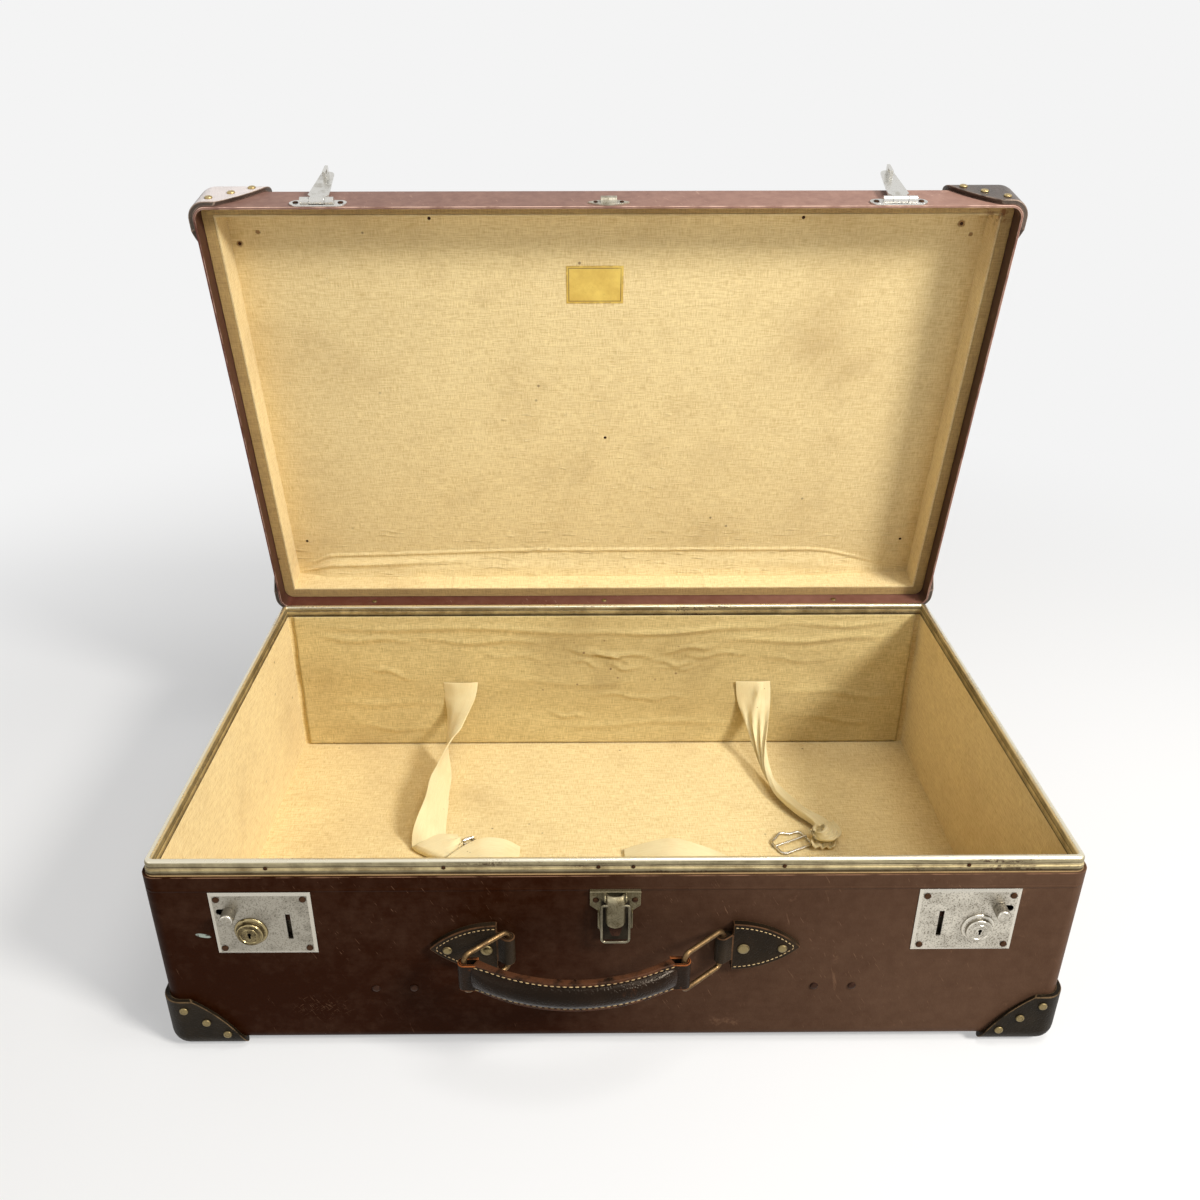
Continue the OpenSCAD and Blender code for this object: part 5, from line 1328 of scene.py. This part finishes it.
tape("rear_strap_left_tape", [
    (-151, LEFT_Y, HIGH, 1, 0, 0, 1),
    (-153, LEFT_Y - 4, HIGH - 17, 0.93, -0.35, 0.1, 0.98),
    (-157, LEFT_Y - 20, HIGH - 33, 0.6, -0.75, 0.3, 0.95),
    (-161, LEFT_Y - 44, HIGH - 44, 0.28, -0.62, 0.72, 0.95),
    (-164, LEFT_Y - 72, lying(1.0), -0.22, -0.4, 0.88, 1),
    (-166, LEFT_Y - 104, lying(0.92), -0.4, -0.16, 0.9, 1),
    (-166, LEFT_Y - 136, lying(0.85), -0.5, 0, 0.85, 1),
    (-167, LEFT_Y - 162, lying(0.56), -0.72, 0.1, 0.6, 1),
    (-168, LEFT_Y - 183, lying(0.06), -0.866, 0.5, 0, 1),
    (-167.6, LEFT_Y - 187.2, lying(0.02) + 2, -0.866, 0.5, 0, 1),
    (-165.5, LEFT_Y - 188.4, lying(0.02) + 6, -0.866, 0.5, 0, 1),
    (-161.7, LEFT_Y - 186.6, lying(0.02) + 8, -0.866, 0.5, 0, 1),
    (-149.1, LEFT_Y - 177.6, lying(0.02) + 7.5, -0.5, 0.866, 0, 0.95),
    (-138.7, LEFT_Y - 171.6, lying(0.02) + 6, -0.5, 0.866, 0, 0.4)],
    "rear_strap_left", cup=2.2, dent=rolled_edge)
tape("rear_strap_right_tape", [
    (157, RIGHT_Y, HIGH, 1, 0, 0, 1),
    (158.5, RIGHT_Y - 4, HIGH - 21, 0.95, -0.2, 0.1, 0.96),
    (161, RIGHT_Y - 20, HIGH - 41, 0.8, -0.45, 0.35, 0.72),
    (163, RIGHT_Y - 44, lying(1.1), 0.5, -0.6, 0.6, 0.5),
    (166, RIGHT_Y - 70, lying(0.6), 0.1, -0.75, 0.6, 0.36),
    (174, RIGHT_Y - 98, lying(0.35), -0.55, -0.6, 0.5, 0.4),
    (189, RIGHT_Y - 126, lying(0.3), -0.7, -0.6, 0.35, 0.45),
    (204, RIGHT_Y - 145, lying(0.28), -0.75, -0.6, 0.25, 0.48),
    (207, RIGHT_Y - 158, lying(0.26), -0.9, -0.35, 0.15, 0.6),
    (204, RIGHT_Y - 172, lying(0.24), -0.95, -0.2, 0.1, 0.72),
    (202, RIGHT_Y - 181, lying(0.18), -0.97, -0.1, 0.1, 0.62)],
    "rear_strap_right", pleats=3.2, dent=long_crease)
tape("buckle_tab", [
    (212, RIGHT_Y - 152, lying(0.5), -0.8, -0.5, 0.3, 0.45),
    (213, RIGHT_Y - 166, lying(0.62), -0.95, 0.1, 0.3, 0.62),
    (206, RIGHT_Y - 176, lying(0.66), -0.8, 0.6, 0.2, 0.6),
    (197, RIGHT_Y - 173, lying(0.6), -0.2, 0.95, 0.2, 0.5),
    (196, RIGHT_Y - 163, lying(0.56), 0.7, 0.7, 0.1, 0.42),
    (203, RIGHT_Y - 159, lying(0.66), 0.9, -0.3, 0.1, 0.34)],
    width=26, pleats=3.5, cup=1.6)
print("two rear straps and the tab round the buckle")


# %% Front straps
def front_start(x):
    """A front strap hangs down its wall and turns on to the floor."""
    heights = ((1.5, FLOOR + 56), (3.4, FLOOR + 22), (20, lying(0.1)))
    return [(x, FRONT_IN + out, z, 1, 0, 0, 1) for out, z in heights]


tape("front_strap_left_tape", [
    *front_start(-162),
    (-162, FRONT_IN + 80, lying(0), 1, 0, 0, 1),
    (-156, FRONT_IN + 128, lying(0.02), 0.98, -0.17, 0, 1),
    (-140, FRONT_IN + 164, lying(0.5), 0.75, -0.65, 0, 1),
    (-118, FRONT_IN + 186, lying(0.82), 0.35, -0.94, 0, 1),
    (-98, FRONT_IN + 192, lying(0.6), 0.1, -1, 0, 1),
    (-82, FRONT_IN + 192, lying(0.1), 0, -1, 0, 1)], "front_strap_left")
tape("front_strap_right_tape", [
    *front_start(162),
    (158, FRONT_IN + 80, lying(0), 1, 0, 0, 1),
    (142, FRONT_IN + 132, lying(0.02), 0.9, 0.4, 0, 1),
    (106, FRONT_IN + 172, lying(0.25), 0.5, 0.87, 0, 1),
    (66, FRONT_IN + 186, lying(0.78), 0.1, 1, 0, 1),
    (36, FRONT_IN + 188, lying(0.5), 0, 1, 0, 1),
    (16, FRONT_IN + 188, lying(0.06), 0, 1, 0, 1)], "front_strap_right")
print("two front straps")

# %% [markdown]
# ## Slack cloth in the lid
# The lid's cloth has slipped on its card. Along the hinge side it no longer follows the corner: it
# leaves the panel at a low crease, cuts across to the rear wall and bunches up in a thick fold at the
# left. The strip is lofted along the shut lid, its back is sunk into the card, and the finished
# places are then turned with the lid.

# %% Slack strip along the hinge
SIDE_X, REAR_Y = 320.2, 190.7


def soft(value):
    value = max(0.0, min(1.0, value))
    return value * value * (3 - 2 * value)


def lid_slack(columns=30, steps=180, lip=7.0):
    (shape, _), rings = new_shape(), []
    for i in range(steps + 1):
        x = SIDE_X * (2 * i / steps - 1)
        loose = soft((x + SIDE_X) / 40) * soft((SIDE_X - x) / 110)
        reach, drop = 4 + (15 + 6 * soft((x + 300) / 250)) * loose, 1 + 7 * loose
        leaves = Vector((x, REAR_Y - reach, PANEL_Z + 0.15))
        lands = Vector((x, REAR_Y + 0.2, PANEL_Z - drop))
        away = Vector((0, -drop, -reach)).normalized()
        bunch = 3.6 * soft((x + SIDE_X) / 25) * soft((-90 - x) / 180)
        ring = [leaves + Vector((0, lip * (k / 8 - 1), -1.5 * loose * math.sin(math.pi * k / 8) ** 2))
                for k in range(8)]
        for k in range(columns + 1):
            s = k / columns
            fold = bunch * math.exp(-(((s - 0.36 + 0.0006 * (x + 300)) / 0.13) ** 2))
            ripple = 1.5 * noise.noise(Vector((x * 0.012, s * 2.6, 7.7))) * loose
            ring.append(leaves.lerp(lands, s) + away * (fold + ripple * math.sin(math.pi * s)))
        ring.append(Vector((x, REAR_Y + 0.6, PANEL_Z + 0.6)))
        rings.append([shape.verts.new(opened(each)) for each in ring])
    join_rings(shape, rings)
    shape.faces.new(rings[0])
    shape.faces.new(rings[-1])
    bmesh.ops.recalc_face_normals(shape, faces=shape.faces)
    return show("lid_slack_cloth", shape, LID_LINEN, "lid", "lining", sharp=60, weigh=False)


print("slack strip of", len(lid_slack().data.polygons), "faces")

# %% [markdown]
# ## Stuffed handle
# The grip is two layers of leather sewn together along the top and the bottom over a padded core, so
# its section is a full bulge between two thin flanges. It is lofted along the same arc as its solid.
# At both ends a tongue of the leather, raw at its cut edges, is folded round the bar of a brass loop.

# %% The grip
BOW, CHORD = 20.0, 139.0
ARC_R = CHORD * CHORD / (8 * BOW) + BOW / 2
ARC_HALF = math.asin(CHORD / 2 / ARC_R)
GRIP_AT = Vector((-LOOP_LEN * math.cos(LOOP_TURN), LOOP_Y - LOOP_LEN * math.sin(LOOP_TURN), HANDLE_Z))
FLANGE, SEAM_H = 8.7, 10.2


def grip_point(t, h, front):
    """Place on the grip for t from -1 to 1 along it and h up from its middle, in millimetres."""
    angle = t * ARC_HALF
    end = max(0.0, (abs(t) - 0.8) / 0.2)
    bulge = max(0.0, 1 - (abs(h) / FLANGE) ** 2.3) ** 0.72 * (1 - 0.72 * end ** 1.6)
    skin = 2.3 + 2.2 * end ** 1.5 * max(0.0, 1 - (abs(h) / 13.2) ** 8)
    out = skin + (5.2 if front else 4.2) * bulge
    out = out if front else -out
    reach = ARC_R + out
    return GRIP_AT + Vector((reach * math.sin(angle), ARC_R - BOW - reach * math.cos(angle), h))


def stuffed_grip():
    shape, wear_and_shade = new_shape()
    levels = [-12.5, -12.3, -11.6, -10.4, -9.4, -8.7, -8.1, -7, -5.5, -3.6, -1.4]
    levels += [-h for h in reversed(levels)]
    rings, steps = [], 72
    for i in range(steps + 1):
        t = 2 * i / steps - 1
        trim = 1 - 0.05 * max(0.0, abs(t) - 0.86) / 0.14
        ring = [grip_point(t, h, True) for h in levels]
        ring += [grip_point(t, h, False) for h in reversed(levels)]
        middle = sum(ring, Vector()) / len(ring)
        trimmed = [Vector((p.x, p.y, middle.z + (p.z - middle.z) * trim)) for p in ring]
        rings.append([shape.verts.new(p * MM) for p in trimmed])
    for face in join_rings(shape, rings):
        face[wear_and_shade] = 1.0 if abs(face.calc_center_median().z / MM - HANDLE_Z) > 11 else 0.0
    for ring in (list(reversed(rings[0])), rings[-1]):
        made = shape.faces.new(ring)
        bmesh.ops.poke(shape, faces=[made])
    bmesh.ops.recalc_face_normals(shape, faces=shape.faces)
    grip = show("handle_grip_leather", shape, GRIP_LEATHER, "grip", "handle_leather", "handle_grip",
                sharp=60, weigh=False)
    soften = grip.modifiers.new("soften", "SUBSURF")
    soften.levels = soften.render_levels = 1
    return grip


grip = stuffed_grip()
print("grip of", len(grip.data.polygons), "faces")


# %% Folds round the loops
def half_turn(radius, start, steps=16):
    """Half a circle, against the clock from -90 degrees and with it from 90."""
    angles = [math.radians(start - 2 * start * k / steps) for k in range(steps + 1)]
    return [(math.cos(angle) * radius, math.sin(angle) * radius) for angle in angles]


def leather_fold(name, bar, towards, height=23.4, reach=10, outer=4.6, hide=2.3):
    """A strip of leather bent round a bar; towards is the side that its two cheeks run to."""
    inner = outer - hide
    outline = [*half_turn(outer, -90), (-reach, outer), (-reach, inner)]
    outline += [*half_turn(inner, 90), (-reach, -inner), (-reach, -outer)]
    shape = bmesh.new()
    low = [Vector((bar.x - towards * x, bar.y + y, bar.z - height / 2)) * MM for x, y in outline]
    foot = shape.faces.new([shape.verts.new(corner) for corner in low])
    grown = bmesh.ops.extrude_face_region(shape, geom=[foot])["geom"]
    top = [part for part in grown if isinstance(part, bmesh.types.BMVert)]
    bmesh.ops.translate(shape, verts=top, vec=(0, 0, height * MM))
    bmesh.ops.recalc_face_normals(shape, faces=shape.faces)
    round_edges(shape, 0.7 * MM, 50, 3)
    return show(name, shape, FOLD_LEATHER, "grip", "handle_leather")


for side, sign in SIDES:
    leather_fold(f"grip_fold_{side}", GRIP_AT + Vector((sign * HANDLE_HALF, 0, 0)), -sign)
print("two folds, raw at their edges")

# %% [markdown]
# ## Saddle stitching
# Rows of cream thread run along the grip's flanges and round the chapes. A seam is only a line on the
# leather, so it is given as a chain of points with the direction that faces out. The tree cuts the
# line into equal steps and lays one small lens of thread on each.


# %% The stitch tree
def stitch_tree():
    sizes = ("Pitch", "Length", "Width", "Height")
    tree, given = new_tree("stitches", [(label, "Float") for label in sizes])
    line = add(tree, "GeometryNodeMeshToCurve", None, {"Mesh": given["Geometry"]})[0]
    pitch = {"Curve": line, "Length": given["Pitch"]}
    cut = add(tree, "GeometryNodeResampleCurve", {"mode": "LENGTH"}, pitch)[0]
    up = named(tree, "up", "FLOAT_VECTOR")
    along = add(tree, "GeometryNodeInputTangent")[0]
    axes = {"primary_axis": "X", "secondary_axis": "Z"}
    turn = add(tree, "FunctionNodeAxesToRotation", axes, {0: along, 1: up})[0]
    lens = add(tree, "GeometryNodeMeshUVSphere", None, {"Segments": 8, "Rings": 5, "Radius": 0.5})[0]
    size = {0: given["Length"], 1: given["Width"], 2: given["Height"]}
    scale = add(tree, "ShaderNodeCombineXYZ", None, size)[0]
    links = {"Points": cut, "Instance": lens, "Rotation": turn, "Scale": scale}
    return close_tree(tree, add(tree, "GeometryNodeInstanceOnPoints", None, links)[0], given)


STITCHES = stitch_tree()


def stitch(name, seams, body, slot, pitch=4.2, length=3.0, width=0.9, height=0.7):
    """seams is a list of chains; a chain is a list of (place, outward direction) in millimetres."""
    mesh = bpy.data.meshes.new(name + "_line")
    places, edges, ups = [], [], []
    for chain in seams:
        edges += [(len(places) + k, len(places) + k + 1) for k in range(len(chain) - 1)]
        places += [Vector(p) * MM for p, _ in chain]
        ups += [c for _, n in chain for c in Vector(n).normalized()]
    mesh.from_pydata(places, edges, [])
    mesh.attributes.new("up", "FLOAT_VECTOR", "POINT").data.foreach_set("vector", ups)
    sizes = {"Pitch": pitch * MM, "Length": length * MM, "Width": width * MM, "Height": height * MM}
    return grow(name, mesh, STITCHES, {**sizes, "Finish": THREAD}, body, slot)


print("stitch tree with", len(STITCHES.nodes), "nodes")


# %% Seams of the handle
CHAPE_FRONT, CHAPE_R, CHAPE_MID, CHAPE_DROP = -209.33, 63.9, 7.85, 45.43  # two arcs make its outline


def grip_seam(h, front):
    chain = []
    for i in range(121):
        t = -0.95 + 1.9 * i / 120
        angle = t * ARC_HALF
        out = Vector((math.sin(angle), -math.cos(angle), 0)) * (1 if front else -1)
        chain.append((grip_point(t, h, front) + out * 0.05, out))
    return chain


def chape_seam(sign):
    chain = []
    for i in range(81):
        s = 2 * i / 80 - 1
        u = 10.5 + 42.0 * (1 - abs(s))
        z = math.sqrt(max(0.0, CHAPE_R ** 2 - (u - CHAPE_MID) ** 2)) - CHAPE_DROP
        up = HANDLE_Z + math.copysign(max(z, 0.0), -s)
        chain.append(((sign * (HANDLE_HALF + u), CHAPE_FRONT, up), (0, -1, 0)))
    return chain


grip_seams = [grip_seam(h, front) for h in (-SEAM_H, SEAM_H) for front in (True, False)]
stitch("grip_stitches", grip_seams, "grip", "handle_leather")
chape_seams = [chape_seam(sign) for _, sign in SIDES]
stitch("chape_stitches", chape_seams, "base", "handle_leather", 3.4, 2.5, 0.8, 0.6)
print("seams sewn")

# %% [markdown]
# ## Stage and light
# The case stands on a plain pale floor. Far out the floor shows one flat tone to the camera, and near
# the case it is an ordinary matt surface that takes the shadow. A big soft lamp stands in front on
# the right, so the straps throw their shadow to the left. A weaker one fills from the other side, and
# a third hangs overhead.


# %% Floor, world and lamps
BACKDROP = srgb(244, 244, 244)
SEEN_RAYS = ("Is Camera Ray", "Is Glossy Ray", "Is Transmission Ray")
FLOOR_Z = -0.0041  # the feet of the corner caps


def stage_finish():
    f = Finish("pale_floor", Base_Color=(0.86, 0.86, 0.86, 1), Roughness=0.9, Specular_IOR_Level=0.1)
    x, y, _ = f.split(place(f))
    far = ((x * x + y * y) ** 0.5).step(0.45, 1.5)
    camera_ray, glossy, through = f.node("ShaderNodeLightPath", out=SEEN_RAYS)
    direct = camera_ray.math("MAXIMUM", glossy).math("MAXIMUM", through)
    glow = f.node("ShaderNodeEmission", None, {"Color": BACKDROP, "Strength": 1.0})
    share = direct * (0.45 + far * 0.55)
    shown = f.node("ShaderNodeMixShader", None, {0: share, 1: Signal(f, f.shader.outputs[0]), 2: glow})
    f.tree.links.new(shown.socket, f.tree.nodes["Material Output"].inputs[0])
    return f.material


floor_shape = bmesh.new()
bmesh.ops.create_circle(floor_shape, cap_ends=True, segments=96, radius=14)
bmesh.ops.translate(floor_shape, verts=floor_shape.verts, vec=(0, 0, FLOOR_Z))
floor_mesh = bpy.data.meshes.new("floor")
floor_shape.to_mesh(floor_mesh)
floor_shape.free()
floor_mesh.materials.append(stage_finish())
floor = bpy.data.objects.new("floor", floor_mesh)
bpy.context.scene.collection.objects.link(floor)

world = bpy.data.worlds.new("studio")
bpy.context.scene.world = world
world.use_nodes = True
sky_tree = world.node_tree
sky = sky_tree.nodes["Background"]
sky.inputs["Color"].default_value = (1, 1, 1, 1)
sky.inputs["Strength"].default_value = 0.2
back = add(sky_tree, "ShaderNodeBackground", None, {"Color": BACKDROP})[0]
rays = add(sky_tree, "ShaderNodeLightPath")
camera_ray, glossy, through = [rays[ray] for ray in SEEN_RAYS]
plain = add(sky_tree, "ShaderNodeMath", {"operation": "MAXIMUM"}, {0: glossy, 1: through})[0]
shown = add(sky_tree, "ShaderNodeMath", {"operation": "ADD"}, {0: camera_ray, 1: plain})[0]
choose = add(sky_tree, "ShaderNodeMixShader", None, {0: shown, 1: sky.outputs[0], 2: back})[0]
sky_tree.links.new(choose, sky_tree.nodes["World Output"].inputs[0])


def lamp(name, at, aim, size, power, colour):
    data = bpy.data.lights.new(name, "AREA")
    data.shape, data.size, data.energy, data.color = "DISK", size, power, colour
    made = bpy.data.objects.new(name, data)
    made.location = at
    made.rotation_mode = "QUATERNION"
    made.rotation_quaternion = (Vector(aim) - Vector(at)).to_track_quat("-Z", "Y")
    bpy.context.scene.collection.objects.link(made)


lamp("key", (1.75, -1.3, 1.8), (0, 0.1, 0.2), 0.6, 77, (1.0, 0.97, 0.92))
lamp("fill", (-1.7, -1.3, 1.1), (0, 0, 0.15), 1.6, 5, (1.0, 0.99, 0.97))
lamp("top", (0.6, -0.5, 2.2), (0, 0, 0.1), 0.9, 17, (1.0, 0.99, 0.97))
bpy.context.scene.view_settings.view_transform = "Standard"
print("stage and three lamps")
